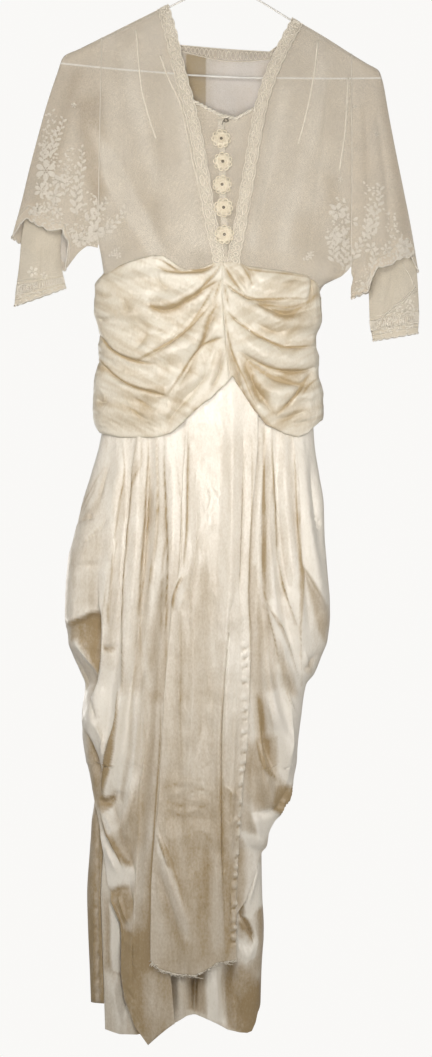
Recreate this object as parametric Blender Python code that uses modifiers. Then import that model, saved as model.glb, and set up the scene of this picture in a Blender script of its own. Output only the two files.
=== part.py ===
"""Hobble gown on a wire hanger: sheer net bodice, ruched satin girdle and draped narrow skirt.

Tables are in millimetres. "down" is the distance below the crown of the hanger's hook, x runs to the
viewer's right and the front faces -Y. Ring angles are in degrees: 0 at the left side, 90 at the centre
front, 180 at the right side, and the back beyond both ends.
"""
import math

import bmesh
import bpy
import numpy as np
from mathutils import Matrix

MM = 0.001
GOWN_LENGTH = 1462.0
NET_WALL = 1.2
LACE_WALL = 1.2
SATIN_WALL = 1.4
GIRDLE_WALL = 1.6
SEAM_GAP = 0.3
WAIST = 537.0
RING_POWER = 2.3

# Hanger
WIRE_RADIUS = 1.25
HOOK_RADIUS = 19.0 + WIRE_RADIUS
WIRE_BELOW_CLOTH = 4.1
BAR_SAG = 7.0
WRAP_TURNS = 3
WRAP_PITCH = 5.0
WRAP_STEPS = 8

# Shoulder lines: x and down at the neck, at the armhole and at the hanger's corner
SHOULDER_L = ((-77.0, 117.3), (-156.0, 156.8), (-209.0, 183.3))
SHOULDER_R = ((98.0, 135.0), (168.0, 178.0), (207.0, 202.0))

# How far the cloth stands out from the wire: drop below the shoulder line, reach
OVER_WIRE = ((0, 0.9), (4.1, 2.9), (12, 5.0), (30, 9.5), (60, 16.0), (110, 60.0))
# Centre depths of the bodice: down, front, back
BODICE_DEPTH = (
    (120, 6.0, 5.0), (165, 8.0, 6.0), (200, 13.0, 9.0), (250, 19.0, 13.0), (300, 25.0, 19.0),
    (350, 30.0, 24.0), (400, 34.0, 29.0), (446, 36.5, 33.0), (500, 38.0, 36.0), (540, 39.0, 37.0))
ARMHOLE_DEPTH = 12.0
ARMHOLE_POWER = 0.8
SIDE_EDGE_DEPTH = 0.9
SHOULDER_DEPTH = 3.3
NECK_POINT_REACH = 2.0

# Bodice fronts: row, armhole or side x, down, V edge x, down, roundness at the side seam
FRONT_L = (
    (0, -156, 156.8, -77, 117.3, 0), (1, -156, 160.8, -75.5, 121.3, 0), (2, -156.4, 182, -67, 150, 0),
    (3, -157.1, 225, -56, 198, 0), (4, -158, 270, -42, 250, 0), (5, -159, 320, -30, 303, 0),
    (6, -160, 375, -20, 365, 0), (7, -160.8, 418, -11, 415, 0.2), (8, -157, 442, -5, 440, 0.8),
    (9, -153, 468, -3, 468, 1), (10, -149, 505, -3, 505, 1), (11, -149, WAIST, -3, WAIST, 1))
FRONT_R = (
    (0, 168, 178, 98, 135, 0), (1, 168, 182, 96, 139, 0), (2, 168, 200, 82, 165, 0),
    (3, 168, 235, 64, 205, 0), (4, 168, 280, 50, 250, 0), (5, 168, 330, 40, 305, 0),
    (6, 167.6, 385, 30, 365, 0), (7, 168, 448, 20, 420, 0), (8, 157, 466, 15, 446, 0),
    (9, 131, 479, 14, 470, 0.3), (10, 119, 505, 13, 505, 0.9), (11, 113, WAIST, 13, WAIST, 1))
# Top line of the back, over the shoulders and round the neck: share across, down
BACK_TOP = (
    (0, 156.8), (0.12, 137.3), (0.244, 117.3), (0.262, 144), (0.306, 166), (0.48, 171), (0.673, 175),
    (0.735, 160), (0.785, 135), (0.9, 157), (1, 178))
BACK_COLUMNS = (
    0, 0.06, 0.12, 0.18, 0.244, 0.265, 0.306, 0.38, 0.48, 0.58, 0.673, 0.735, 0.785, 0.86, 0.93, 1)
NECK_COLUMNS = BACK_COLUMNS[5:12]
BACK_STEPS = (0, 0.011, 0.035, 0.08, 0.15, 0.24, 0.34, 0.45, 0.56, 0.67, 0.75, 0.83, 0.92, 1)
FRONT_ROWS = (0, 0.5, 1, 1.5, 2, 2.6, 3.3, 4, 4.7, 5.4, 6, 6.6, 7.2, 7.8, 8.4, 9.2, 10, 11)
UNDERARM_ROW = 7
UNDERARM_REACH = 14.0

# Sleeves: row, overarm x, down, underarm x, down, depth
SLEEVE_L = (
    (0, -156, 156.8, -161, 430, 12.5), (1, -184, 170.8, -166, 429, 13), (2, -206, 181.8, -171, 428, 14),
    (3, -214.5, 204, -175, 428, 14), (4, -227.5, 243, -180, 431, 14), (5, -240, 288, -186, 436, 15),
    (6, -251, 330, -191, 442, 16), (7, -261, 372, -197, 450, 17), (8, -273, 415, -203, 458, 18))
SLEEVE_R = (
    (0, 168, 178, 168, 463, 12.5), (1, 188, 190.3, 169, 466, 13), (2, 204, 200.1, 170, 469, 14),
    (3, 209, 214, 170, 471, 14), (4, 217, 258, 169.5, 474, 14), (5, 226, 305, 169, 477, 15),
    (6, 235.5, 352, 168, 480, 16), (7, 246, 405, 167.5, 485, 17), (8, 255, 459, 168, 494, 18))
SLEEVE_STATIONS = (0, 0.016, 0.08, 0.22, 0.4, 0.6, 0.78, 0.93, 1)
# How far the front hem is cut back, left and right: share of the sleeve's width, share of its length
SLEEVE_FRONT_CUT = (
    ((0, 0), (0.13, 0.1), (0.34, 0.122), (0.57, 0.172), (0.7, 0.28), (0.86, 0.28), (1, 0)),
    ((0, 0), (0.06, 0.05), (0.22, 0.07), (0.43, 0.075), (0.58, 0.11), (0.66, 0.09), (0.76, 0),
     (1, 0)))
NO_CUT = ((0, 0), (1, 0))
# Under-sleeves: row, outer x, down, inner x, down, depth
UNDERSLEEVE_L = (
    (0, -256, 385, -208, 405, 7), (1, -261, 420, -210, 430, 8), (2, -263.5, 450, -209, 450, 9),
    (3, -267, 478, -206, 468, 10), (4, -270, 505, -203, 481, 11))
UNDERSLEEVE_R = (
    (0, 247.2, 430, 186, 440, 7), (1, 252.9, 458, 190, 468, 8), (2, 255, 485, 191, 495, 9),
    (3, 256, 512, 192, 525, 10), (4, 255, 540, 196, 550, 11))
UNDERSLEEVE_STATIONS = (0, 0.06, 0.2, 0.4, 0.6, 0.8, 0.94, 1)

# Chemisette in the V, its tab and the five crochet buttons
CHEMISETTE_TOP = ((-48, 237), (-6, 259), (17, 264), (52, 246))
CHEMISETTE_BOTTOM = 447.0
CHEMISETTE_INSET = 1.8
CHEMISETTE_TUCK = 4.0
TAB_HALF = 4.5
TAB_TOP = 264.0
# Buttons: x, down, extra lift where they lie over the lace
BUTTONS = ((-1, 290, 0), (1, 320, 0), (0, 350, 0), (2, 380, 1.8), (3, 415, 2.4))
BUTTONS_LINE = tuple((down, x) for x, down, _ in BUTTONS)
BUTTON_RADIUS = 11.5
BUTTON_THICK = 5.0
BUTTON_PETALS = 8
PETAL_DEPTH = 0.07
# Button rings: share of the radius, share of the thickness
BUTTON_PROFILE = ((0, 0), (0.9, 0), (1, 0.4), (0.88, 0.9), (0.58, 1), (0.3, 0.72), (0, 0.4))
LACE_HALF = 6.5
LACE_SCALLOPS = 22
SCALLOP_DEPTH = 1.5
LACE_BOTTOM = 447.0
LACE_LIFT = (NET_WALL + LACE_WALL) / 2 + 0.5

# Girdle: down, left, right, front, back
GIRDLE = (
    (440, -151, 118, 39.0, 37), (464, -155, 122, 40.0, 38), (480, -165, 128, 41.5, 39),
    (511, -164, 129, 43.5, 40), (550, -157, 122, 45.5, 41), (589, -161, 124, 47.0, 42),
    (628, -167, 130, 49.0, 44), (650, -167, 131, 50.5, 46), (665, -163, 126, 52.0, 48),
    (680, -161, 123, 53.5, 49))
# The plain ring on which the girdle's top and bottom lines are read: left, right, front, back
GIRDLE_RING = (-160, 125, 46, 42)
GIRDLE_TOP = (
    (-156, 464), (-140, 454), (-122, 448), (-97, 441.5), (-81, 442), (-68, 449), (-57, 456.5),
    (-46, 460), (-31, 460), (-20, 456), (-8, 450), (24, 450), (36, 455.5), (56, 458.5), (78, 461),
    (112, 466), (119, 474), (125, 488))
GIRDLE_BOTTOM = (
    (-166, 655), (-158, 671), (-133, 677), (-87, 677), (-70, 672), (-55, 660), (-29, 634), (0, 608),
    (9, 598), (13, 606), (36, 641), (52, 660), (82, 673), (99, 677), (112, 672), (121, 660), (128, 648))
# Top of the girdle's back: share across, down
GIRDLE_BACK_TOP = (
    (0, 466), (0.08, 458), (0.25, 452), (0.6, 453), (0.7, 465), (0.78, 479), (0.86, 490), (1, 494))
# Gather line at the centre front: down, x
GIRDLE_GATHER = ((445, 3), (470, 0), (491, 0), (534, 3), (589, 8), (610, 9))
GIRDLE_SIDE_DEGREES = 0.14

# Skirt rings: down, left, right, front, back, then the underskirt's insets at left, right and front
SKIRT = (
    (537, -149, 113, 39.0, 37, 2.4, 2.4, 2.2), (600, -151, 115, 40.0, 38, 3, 3, 2.4),
    (655, -154, 118, 43.0, 41, 5, 5, 3), (686, -159, 120, 47, 46, 7, 7, 4),
    (725, -170, 126, 51, 50, 10, 12, 5), (764, -181, 132, 54, 53, 15, 20, 6),
    (803, -190, 133, 57, 56, 20, 28, 7), (842, -198, 136, 60, 58, 25, 34, 8),
    (901, -199, 140, 62, 60, 26, 42, 8), (940, -198, 135, 60, 59, 24, 42, 8),
    (959, -191, 127, 59, 58, 20, 40, 8), (979, -181, 118, 58, 57, 14, 36, 7),
    (998, -174, 105, 57, 56, 11, 30, 7), (1037, -178, 99, 56, 54, 10, 28, 6),
    (1076, -175, 94, 54, 51, 7, 27, 6), (1115, -169, 90, 52, 49, 5, 27, 5),
    (1135, -165, 86, 51, 48, 2, 26, 4), (1154, -166, 77, 50, 47, 0, 20, 2),
    (1174, -169, 70, 49, 46, 0, 15, 0), (1193, -170, 61, 49, 46, 0, 8, 0),
    (1213, -171.5, 51, 48, 45, 0, 0, 0), (1271, -175, 52, 48, 44, 0, 0, 0),
    (1310, -174, 54, 47, 43, 0, 0, 0), (1369, -171.5, 51, 46, 42, 0, 0, 0),
    (1440, -169, 49, 46, 42, 0, 0, 0))
# Side seams of the back panel: down, left, right, in degrees
SIDE_SEAM = (
    (537, -35, 215), (1030, -35, 215), (1060, -20, 202), (1085, -4, 188), (1110, 14, 180.2),
    (1135, 27, 180.2), (1213, 35, 180.2), (1440, 35, 180.2))
# Outer edges of the drapes: down, left, right, in degrees, above the free edges
DRAPE_SEAM = ((537, -35, 215), (1010, -35, 215), (1060, -18, 198), (1100, 0, 180))
FREE_EDGE_L = (
    (1100, -171), (1152, -160), (1213, -150), (1254, -146), (1275, -142), (1305, -129), (1369, -129),
    (1399, -125), (1438, -112), (1462, -95))
FREE_EDGE_R = (
    (1100, 91), (1128, 87), (1154, 74), (1174, 63), (1193, 55), (1213, 47), (1248, 38), (1275, 29),
    (1292, 18))
FREE_EDGE_TOP = 1100.0
# Rows of the skirt's pieces: heights that they share, then each one's own
SEAM_ROWS = (538, 598, 655, 690, 730, 770, 808, 844, 880, 914, 944, 974, 1003, 1035)
DRAPE_L_ROWS = (1065, 1095, 1125, 1155, 1185, 1215, 1245, 1275, 1305, 1340, 1375, 1410, 1438, 1462)
DRAPE_R_ROWS = (1060, 1085, 1110, 1135, 1155, 1174, 1193, 1213, 1230, 1250, 1270, 1292)
BACK_ROWS = (1060, 1085, 1110, 1135, 1175, 1213, 1260, 1310, 1360, 1410)
UNDER_ROWS = (
    538, 655, 730, 808, 880, 944, 1003, 1035, 1060, 1085, 1110, 1135, 1175, 1213, 1260, 1310, 1360)
SKIRT_GAP = 0.35
UNDER_START = (1035.0, 1090.0)
# Front panel: down, left, right
PANEL = (
    (537, -43, 44), (677, -47, 46), (732, -51, 42), (792, -53, 37), (845, -55, 35), (889, -64, 34),
    (933, -68, 37), (1009, -74, 34), (1063, -77, 32), (1118, -80, 26), (1173, -84, 21), (1265, -91, 16),
    (1375, -92, 16))
PANEL_HEM = ((-92, 1353), (-81, 1364), (-61, 1370), (-35, 1372), (-18, 1364), (-8, 1356), (16, 1353))
PANEL_OVERLAP = 14.0
PANEL_LIFT = 2.6
DRAPE_LIFT = ((537, 0), (900, 0), (980, 3.4), (1150, 4.5), (1470, 4.5))
# Inner edge of the left drape where it leaves the panel: down, x
DRAPE_L_INNER = ((1290, -76), (1330, -70), (1375, -66), (1434, -61))
# Both drapes hang lower at one edge: the rows slant from a height on, to an end at the other edge
DRAPE_L_SLANT = 1375.0
DRAPE_L_END = 1434.0
DRAPE_R_END = 1306.0
# Hem of the underskirt: x, down
UNDER_HEM = (
    (-153, 1443), (-130, 1449), (-110, 1449), (-85, 1440), (-77, 1434), (-69, 1425), (-61, 1423),
    (-53, 1427), (-43, 1433), (-34, 1438), (-26, 1443), (-10, 1447), (2, 1448), (12, 1446), (22, 1436),
    (31, 1422), (50, 1410))

# Folds: start x, down, control x, down, end x, down, half width, height
GIRDLE_FOLDS = (
    (-4, 458, -60, 466, -150, 480, 11, 6), (-4, 472, -60, 522, -158, 515, 15, 11),
    (-2, 522, -60, 594, -158, 556, 15, 11), (4, 572, -60, 642, -162, 602, 15, 10),
    (0, 612, -50, 662, -164, 640, 12, 6), (10, 458, 60, 478, 122, 482, 11, 6),
    (8, 490, 60, 530, 126, 526, 14, 11), (10, 540, 60, 584, 122, 576, 15, 11),
    (14, 588, 55, 634, 127, 614, 14, 10), (20, 618, 56, 656, 122, 644, 10, 5))
DRAPE_FOLDS = (
    (-83, 665, -80, 900, -124, 1130, 8, 13), (-106, 665, -106, 930, -152, 1150, 9, 13),
    (-128, 680, -146, 880, -166, 1060, 11, 10), (-72, 720, -84, 1000, -108, 1330, 9, 12),
    (-98, 1070, -112, 1186, -146, 1196, 12, 12), (-102, 1150, -110, 1290, -118, 1410, 9, 10),
    (-150, 740, -188, 860, -190, 940, 20, 10), (-150, 1000, -160, 1050, -168, 1090, 12, 8),
    (58, 665, 50, 880, 90, 1010, 8, 13), (79, 665, 80, 820, 104, 930, 9, 10),
    (100, 680, 102, 800, 130, 905, 10, 11), (46, 880, 50, 1010, 84, 1100, 9, 12),
    (40, 1010, 42, 1130, 72, 1166, 9, 11), (30, 1110, 32, 1190, 52, 1206, 9, 9))
PANEL_FOLDS = ((14, 620, 8, 950, -6, 1260, 9, 6), (-70, 1180, -58, 1280, -40, 1365, 12, 6))
UNDER_FOLDS = (
    (-36, 1200, -36, 1330, -36, 1450, 11, -20), (6, 1250, 8, 1350, 4, 1450, 12, -9),
    (-128, 1200, -128, 1330, -122, 1450, 11, -9), (-72, 1250, -70, 1350, -68, 1450, 12, -7))
BACK_FOLDS = (
    (-90, 700, -100, 900, -120, 1180, 14, 7), (-40, 690, -42, 960, -70, 1300, 14, 6),
    (20, 690, 24, 960, -10, 1300, 14, 7), (70, 700, 76, 900, 40, 1180, 13, 6))
FOLD_STEPS = 14
FOLD_FADE = 16.0
FOLDS_START = (597.0, 667.0)
GIRDLE_BACK_LOW = (652.0, 668.0)
GIRDLE_BACK_RUCHES = (3.5, 3.0)
# Columns and rows of each satin piece
GIRDLE_L_GRID = (14, 18)
GIRDLE_R_GRID = (13, 18)
GIRDLE_BACK_GRID = (15, 10)
DRAPE_L_COLUMNS = 17
DRAPE_R_COLUMNS = 15
PANEL_GRID = (9, 21)
BACK_PANEL_COLUMNS = 15
UNDERSKIRT_COLUMNS = 21


def column(table, at, index):
    """Read one column of a table by its first column, on a smooth curve with no overshoot."""
    key = np.array([row[0] for row in table], float)
    value = np.array([row[index] for row in table], float)
    step = np.diff(key)
    rise = np.diff(value) / step
    slope = np.zeros(len(key))
    slope[0], slope[-1] = rise[0], rise[-1]
    for i in range(1, len(key) - 1):
        if rise[i - 1] * rise[i] > 0:
            slope[i] = 2 * rise[i - 1] * rise[i] / (rise[i - 1] + rise[i])
    at = np.clip(np.asarray(at, float), key[0], key[-1])
    i = np.clip(np.searchsorted(key, at, side="right") - 1, 0, len(key) - 2)
    t = (at - key[i]) / step[i]
    start = (2 * t ** 3 - 3 * t ** 2 + 1) * value[i] + (t ** 3 - 2 * t ** 2 + t) * step[i] * slope[i]
    return start + (3 * t ** 2 - 2 * t ** 3) * value[i + 1] + (t ** 3 - t ** 2) * step[i] * slope[i + 1]


def line(table, at, index=1):
    """Read one column of a table along straight runs."""
    return np.interp(at, [row[0] for row in table], [row[index] for row in table])


def mix(a, b, share):
    return a + (b - a) * share


def smooth(low, high, at):
    t = np.clip((at - low) / (high - low), 0, 1)
    return t * t * (3 - 2 * t)


def signed_power(value, power):
    return np.sign(value) * np.abs(value) ** power


def ring(left, right, front, back, degrees):
    """A point on a flattened ring: x and y."""
    angle = np.radians(degrees)
    x = (left + right) / 2 - (right - left) / 2 * signed_power(np.cos(angle), 2 / RING_POWER)
    depth = np.where(np.sin(angle) >= 0, front, back)
    return x, -depth * signed_power(np.sin(angle), 2 / RING_POWER)


def degrees_at(left, right, x):
    """The angle of a point on the front of a ring, by its x."""
    share = np.clip(((left + right) / 2 - x) / ((right - left) / 2), -1, 1)
    return np.degrees(np.arccos(signed_power(share, RING_POWER / 2)))


def stack(x, y, down):
    x, y, down = np.broadcast_arrays(x, y, down)
    return np.stack([x, y, -down], axis=-1).astype(float)


def outward(points, inside):
    """Unit normals of a grid of points, pointing away from a line of inside points."""
    normal = np.cross(np.gradient(points, axis=0), np.gradient(points, axis=1))
    normal /= np.linalg.norm(normal, axis=-1, keepdims=True)
    away = np.sum(normal * (points - inside), axis=-1, keepdims=True)
    return normal * np.where(away.mean() < 0, -1, 1)


def moved_out(points, amount):
    """The same grid, moved out from the gown's middle plane line by an amount in each place."""
    inside = points.copy()
    inside[..., 0] = points[..., 0].mean()
    inside[..., 1] = 0
    return points + outward(points, inside) * np.broadcast_to(amount, points.shape[:2])[..., None]


def fold_height(x, down, folds):
    """Height of the folds at each place: soft ridges along curves, faded at both ends."""
    height = np.zeros(np.shape(x))
    step = np.linspace(0, 1, FOLD_STEPS)
    fade = np.sin(np.pi * np.clip(step, 0.02, 0.98)) ** 0.5
    for x0, d0, x1, d1, x2, d2, width, tall in folds:
        along_x = (1 - step) ** 2 * x0 + 2 * step * (1 - step) * x1 + step ** 2 * x2
        along_d = (1 - step) ** 2 * d0 + 2 * step * (1 - step) * d1 + step ** 2 * d2
        best = np.full(np.shape(x), np.inf)
        level = np.zeros(np.shape(x))
        for i in range(FOLD_STEPS - 1):
            run_x, run_d = along_x[i + 1] - along_x[i], along_d[i + 1] - along_d[i]
            t = ((x - along_x[i]) * run_x + (down - along_d[i]) * run_d) / (run_x ** 2 + run_d ** 2)
            t = np.clip(t, 0, 1)
            far = np.hypot(x - along_x[i] - t * run_x, down - along_d[i] - t * run_d)
            near = far < best
            level = np.where(near, mix(fade[i], fade[i + 1], t), level)
            best = np.minimum(best, far)
        height += tall * level * np.exp(-(best / width) ** 2)
    return height


def grid(columns, rows):
    return np.meshgrid(np.array(columns, float), np.array(rows, float), indexing="ij")


def unit_grid(across, along):
    return grid(np.linspace(0, 1, across), np.linspace(0, 1, along))


def over_wire(drop, depth):
    return np.minimum(depth, line(OVER_WIRE, drop))


def armhole(table):
    """Top of an armhole and its length down to the underarm."""
    top = table[0][2]
    return top, table[UNDERARM_ROW][2] + UNDERARM_REACH - top


def armhole_depth(share, length):
    """Depth of the armhole and the sleeve head, from the shoulder to the underarm."""
    depth = ARMHOLE_DEPTH * np.sin(np.pi * np.clip(share, 0, 1)) ** ARMHOLE_POWER
    least = np.where(share < 0.5, SHOULDER_DEPTH, SIDE_EDGE_DEPTH)
    return over_wire(share * length, np.maximum(depth, least))


def bodice_row(table, v):
    """Both ends of a row of a bodice front, and its depths there."""
    outer_x, outer_down = column(table, v, 1), column(table, v, 2)
    inner_x, inner_down = column(table, v, 3), column(table, v, 4)
    top, length = armhole(table)
    edge = armhole_depth((outer_down - top) / length, length)
    centre = over_wire(inner_down - table[0][4], column(BODICE_DEPTH, inner_down, 1))
    return outer_x, outer_down, inner_x, inner_down, edge, centre


def bodice_front(table, u, v):
    """The net front: u from the armhole or side seam to the V edge, v down the rows."""
    outer_x, outer_down, inner_x, inner_down, edge, centre = bodice_row(table, v)
    swell = (1 - (1 - u) ** 2) ** (1 / (1 + 1.3 * column(table, v, 5)))
    depth = edge + (centre - edge) * swell
    return stack(mix(outer_x, inner_x, u), -depth, mix(outer_down, inner_down, u))


def bodice_back(u, s):
    """The net back: u across from left to right, s down from the shoulders and neck to the waist."""
    down = mix(line(BACK_TOP, u), WAIST, s)
    left = np.interp(down, [row[2] for row in FRONT_L], [row[1] for row in FRONT_L])
    right = np.interp(down, [row[2] for row in FRONT_R], [row[1] for row in FRONT_R])
    edges = []
    for table in (FRONT_L, FRONT_R):
        top, length = armhole(table)
        edges.append(armhole_depth((WAIST - top) * s / length, length))
    edge = mix(edges[0], edges[1], smooth(0.3, 0.7, u))
    centre = column(BODICE_DEPTH, down, 2)
    side = smooth(470, 505, down)
    swell = (1 - np.abs(2 * u - 1) ** 2.3) ** (1 / (1 + 1.2 * side))
    depth = edge + (centre - edge) * swell
    neck = smooth(0.244, 0.30, u) * smooth(0.785, 0.73, u)
    held = over_wire(down - line(BACK_TOP, u), depth)
    held = held + NECK_POINT_REACH * smooth(0.2, 0.244, u) * smooth(0.83, 0.785, u)
    return stack(mix(left, right, u), mix(held, depth, neck), down)


def sleeve(table, t, share, side, front_cut=NO_CUT):
    """A sleeve's flattened tube: t along the arm, share from overarm to underarm, side -1 in front."""
    cut = line(front_cut, share) * (side < 0)
    t = t * (1 - cut)
    top_x, top_down = column(table, t, 1), column(table, t, 2)
    low_x, low_down = column(table, t, 3), column(table, t, 4)
    length = np.hypot(low_x - top_x, low_down - top_down)
    depth = column(table, t, 5) * np.sin(np.pi * share) ** ARMHOLE_POWER
    head = np.maximum(depth, np.where(share < 0.5, SHOULDER_DEPTH, 0))
    held = np.minimum(head, line(OVER_WIRE, share * length)) * (share > 0)
    depth = mix(held, depth, smooth(2.4, 3.5, t))
    return stack(mix(top_x, low_x, share), side * depth, mix(top_down, low_down, share))


def girdle(degrees, down):
    values = [column(GIRDLE, down, i) for i in (1, 2, 3, 4)]
    x, y = ring(*values, degrees)
    return stack(x, y, down)


def skirt(degrees, down, inner=0.0):
    """The skirt's outer ring, or with inner 1 the underskirt's ring inside it."""
    left, right, front, back = (column(SKIRT, down, i) for i in (1, 2, 3, 4))
    insets = [inner * column(SKIRT, down, i) for i in (5, 6, 7)]
    x, y = ring(left + insets[0], right - insets[1], front - insets[2], back, degrees)
    return stack(x, y, down)


def skirt_degrees(down, x):
    return degrees_at(column(SKIRT, down, 1), column(SKIRT, down, 2), x)


def material(name, colour, roughness, metallic=0.0):
    new = bpy.data.materials.new(name)
    new.use_nodes = True
    shader = new.node_tree.nodes["Principled BSDF"]
    shader.inputs["Base Color"].default_value = (*colour, 1)
    shader.inputs["Roughness"].default_value = roughness
    shader.inputs["Metallic"].default_value = metallic
    new.diffuse_color = (*colour, 1)
    return new


def add_object(name, data, finish, collection):
    made = bpy.data.objects.new(name, data)
    data.materials.append(finish)
    collection.objects.link(made)
    return made


def add_sheet(name, points, wall, finish, collection, closed=False):
    """A cloth wall through a grid of points, joined into a tube where it is closed."""
    across, along = points.shape[:2]
    shape = bmesh.new()
    bmesh.ops.create_grid(shape, x_segments=across - 1, y_segments=along - 1, size=1)
    for vertex in shape.verts:
        i = round((vertex.co.x + 1) / 2 * (across - 1))
        j = round((vertex.co.y + 1) / 2 * (along - 1))
        vertex.co = points[i, j] * MM
    if closed:
        bmesh.ops.remove_doubles(shape, verts=shape.verts, dist=1e-6)
    mesh = bpy.data.meshes.new(name)
    shape.to_mesh(mesh)
    shape.free()
    mesh.shade_smooth()
    made = add_object(name, mesh, finish, collection)
    solid = made.modifiers.new("wall", "SOLIDIFY")
    solid.thickness = wall * MM
    solid.offset = 0
    return made


def hanger_path():
    """The one wire: hook, neck, right arm, bar, left arm, and the loose end wrapped round the neck."""
    points = []
    centre = WIRE_RADIUS - HOOK_RADIUS
    for degrees in range(205, -50, -15):
        angle = math.radians(degrees)
        points.append((HOOK_RADIUS * math.cos(angle), 0, centre + HOOK_RADIUS * math.sin(angle)))
    points += [(7.5, 0, centre - 19.5), (2.0, 0, centre - 23), (0, 0, centre - 28), (0, 0, -76)]
    corners = []
    for shoulder, sign in ((SHOULDER_R, 1), (SHOULDER_L, -1)):
        x, down = shoulder[2]
        slope = (down - shoulder[0][1]) / abs(x - shoulder[0][0])
        end_x = x - sign * 8
        corners.append((sign, end_x, down - 8 * slope + WIRE_BELOW_CLOTH, slope))
    sign, x, down, slope = corners[0]
    points.append((3, 0, -(down - (x - 3) * slope)))
    turns = [(x, down), (x + 2.5, down + 3), (x + 1.5, down + 7), (x - 4, down + 8.5)]
    points += [(px, 0, -pd) for px, pd in turns]
    left_sign, left_x, left_down, left_slope = corners[1]
    right_end, left_end = (x - 4, down + 8.5), (left_x + 4, left_down + 8.5)
    for share in (0.2, 0.4, 0.6, 0.8):
        sag = BAR_SAG * math.sin(math.pi * share)
        points.append((mix(right_end[0], left_end[0], share), 0,
                       -(mix(right_end[1], left_end[1], share) + sag)))
    turns = [left_end, (left_x - 1.5, left_down + 7), (left_x - 2.5, left_down + 3), (left_x, left_down)]
    points += [(px, 0, -pd) for px, pd in turns]
    reach = 2 * WIRE_RADIUS + SEAM_GAP
    for x, y in ((-30, 0), (-8, reach * 0.8)):
        points.append((x, y, -(left_down - (x - left_x) * left_slope)))
    start = points[-1][2]
    low = max(start + 4, -73)
    for i in range(WRAP_TURNS * WRAP_STEPS + 1):
        angle = math.pi / 2 - 2 * math.pi * i / WRAP_STEPS
        points.append((reach * math.cos(angle), reach * math.sin(angle),
                       low + WRAP_PITCH * i / WRAP_STEPS))
    return points


def add_hanger(collection):
    path = hanger_path()
    curve = bpy.data.curves.new("hanger", "CURVE")
    curve.dimensions = "3D"
    curve.bevel_depth = WIRE_RADIUS * MM
    curve.bevel_resolution = 2
    curve.use_fill_caps = True
    spline = curve.splines.new("POLY")
    spline.points.add(len(path) - 1)
    for point, place in zip(spline.points, path):
        point.co = (*(value * MM for value in place), 1)
    add_object("hanger", curve, material("painted_wire", (0.85, 0.84, 0.82), 0.4), collection)


def add_bodice(collection, net, lace):
    for name, table in (("bodice_front_l", FRONT_L), ("bodice_front_r", FRONT_R)):
        u, v = grid(np.linspace(0, 1, 9), FRONT_ROWS)
        add_sheet(name, bodice_front(table, u, v), NET_WALL, net, collection)
    u, s = grid(BACK_COLUMNS, BACK_STEPS)
    add_sheet("bodice_back", bodice_back(u, s), NET_WALL, net, collection)
    band = moved_out(bodice_back(*grid(NECK_COLUMNS, BACK_STEPS[:3])), LACE_LIFT)
    add_sheet("neck_band", band, LACE_WALL, lace, collection)


def lace_points(table, across, steps):
    """Scalloped edging that lies on the net along the V edge, from shoulder to girdle."""
    last = float(np.interp(LACE_BOTTOM, [row[4] for row in table], [row[0] for row in table]))
    side, v = grid(across, np.linspace(0.25, last, steps))
    outer_x, outer_down, inner_x, inner_down, _, _ = bodice_row(table, v)
    length = np.hypot(inner_x - outer_x, inner_down - outer_down)
    wave = SCALLOP_DEPTH * np.abs(np.sin(np.pi * LACE_SCALLOPS * v / last))
    reach = side * (LACE_HALF + wave)
    points = bodice_front(table, 1 + reach / length, v)
    return moved_out(points, LACE_LIFT)


def add_lace(collection, lace):
    for name, table in (("lace_edge_l", FRONT_L), ("lace_edge_r", FRONT_R)):
        points = lace_points(table, (-1, 0, 1), 2 * LACE_SCALLOPS + 1)
        add_sheet(name, points, LACE_WALL, lace, collection)


def chemisette_depth(down):
    return column(BODICE_DEPTH, down, 1) - CHEMISETTE_INSET


def v_edge(table, down):
    return np.interp(down, [row[4] for row in table], [row[3] for row in table])


def chemisette(u, s):
    """The net inset behind the V, tucked a little under both fronts."""
    nominal = mix(-52, 56, u)
    down = mix(line(CHEMISETTE_TOP, nominal), CHEMISETTE_BOTTOM, s)
    left = v_edge(FRONT_L, down) - CHEMISETTE_TUCK
    right = v_edge(FRONT_R, down) + CHEMISETTE_TUCK
    return stack(mix(left, right, u), -chemisette_depth(down), down)


def add_chemisette(collection, net, lace, crochet):
    add_sheet("chemisette", chemisette(*unit_grid(9, 10)), NET_WALL, net, collection)
    x, down = grid((-TAB_HALF, 0, TAB_HALF), np.linspace(TAB_TOP, CHEMISETTE_BOTTOM, 9))
    lift = NET_WALL / 2 + LACE_WALL / 2 + SEAM_GAP
    centre = line(BUTTONS_LINE, down)
    tab = stack(x + centre, -chemisette_depth(down) - lift, down)
    add_sheet("button_tab", tab, LACE_WALL, lace, collection)
    for number, (x, down, extra) in enumerate(BUTTONS, 1):
        slope = float(chemisette_depth(down + 5) - chemisette_depth(down - 5)) / 10
        lift_out = float(chemisette_depth(down)) + lift + LACE_WALL / 2 + 0.4 + extra
        add_button(f"button_{number}", (x, -lift_out, -down), math.atan(slope), crochet, collection)


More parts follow.
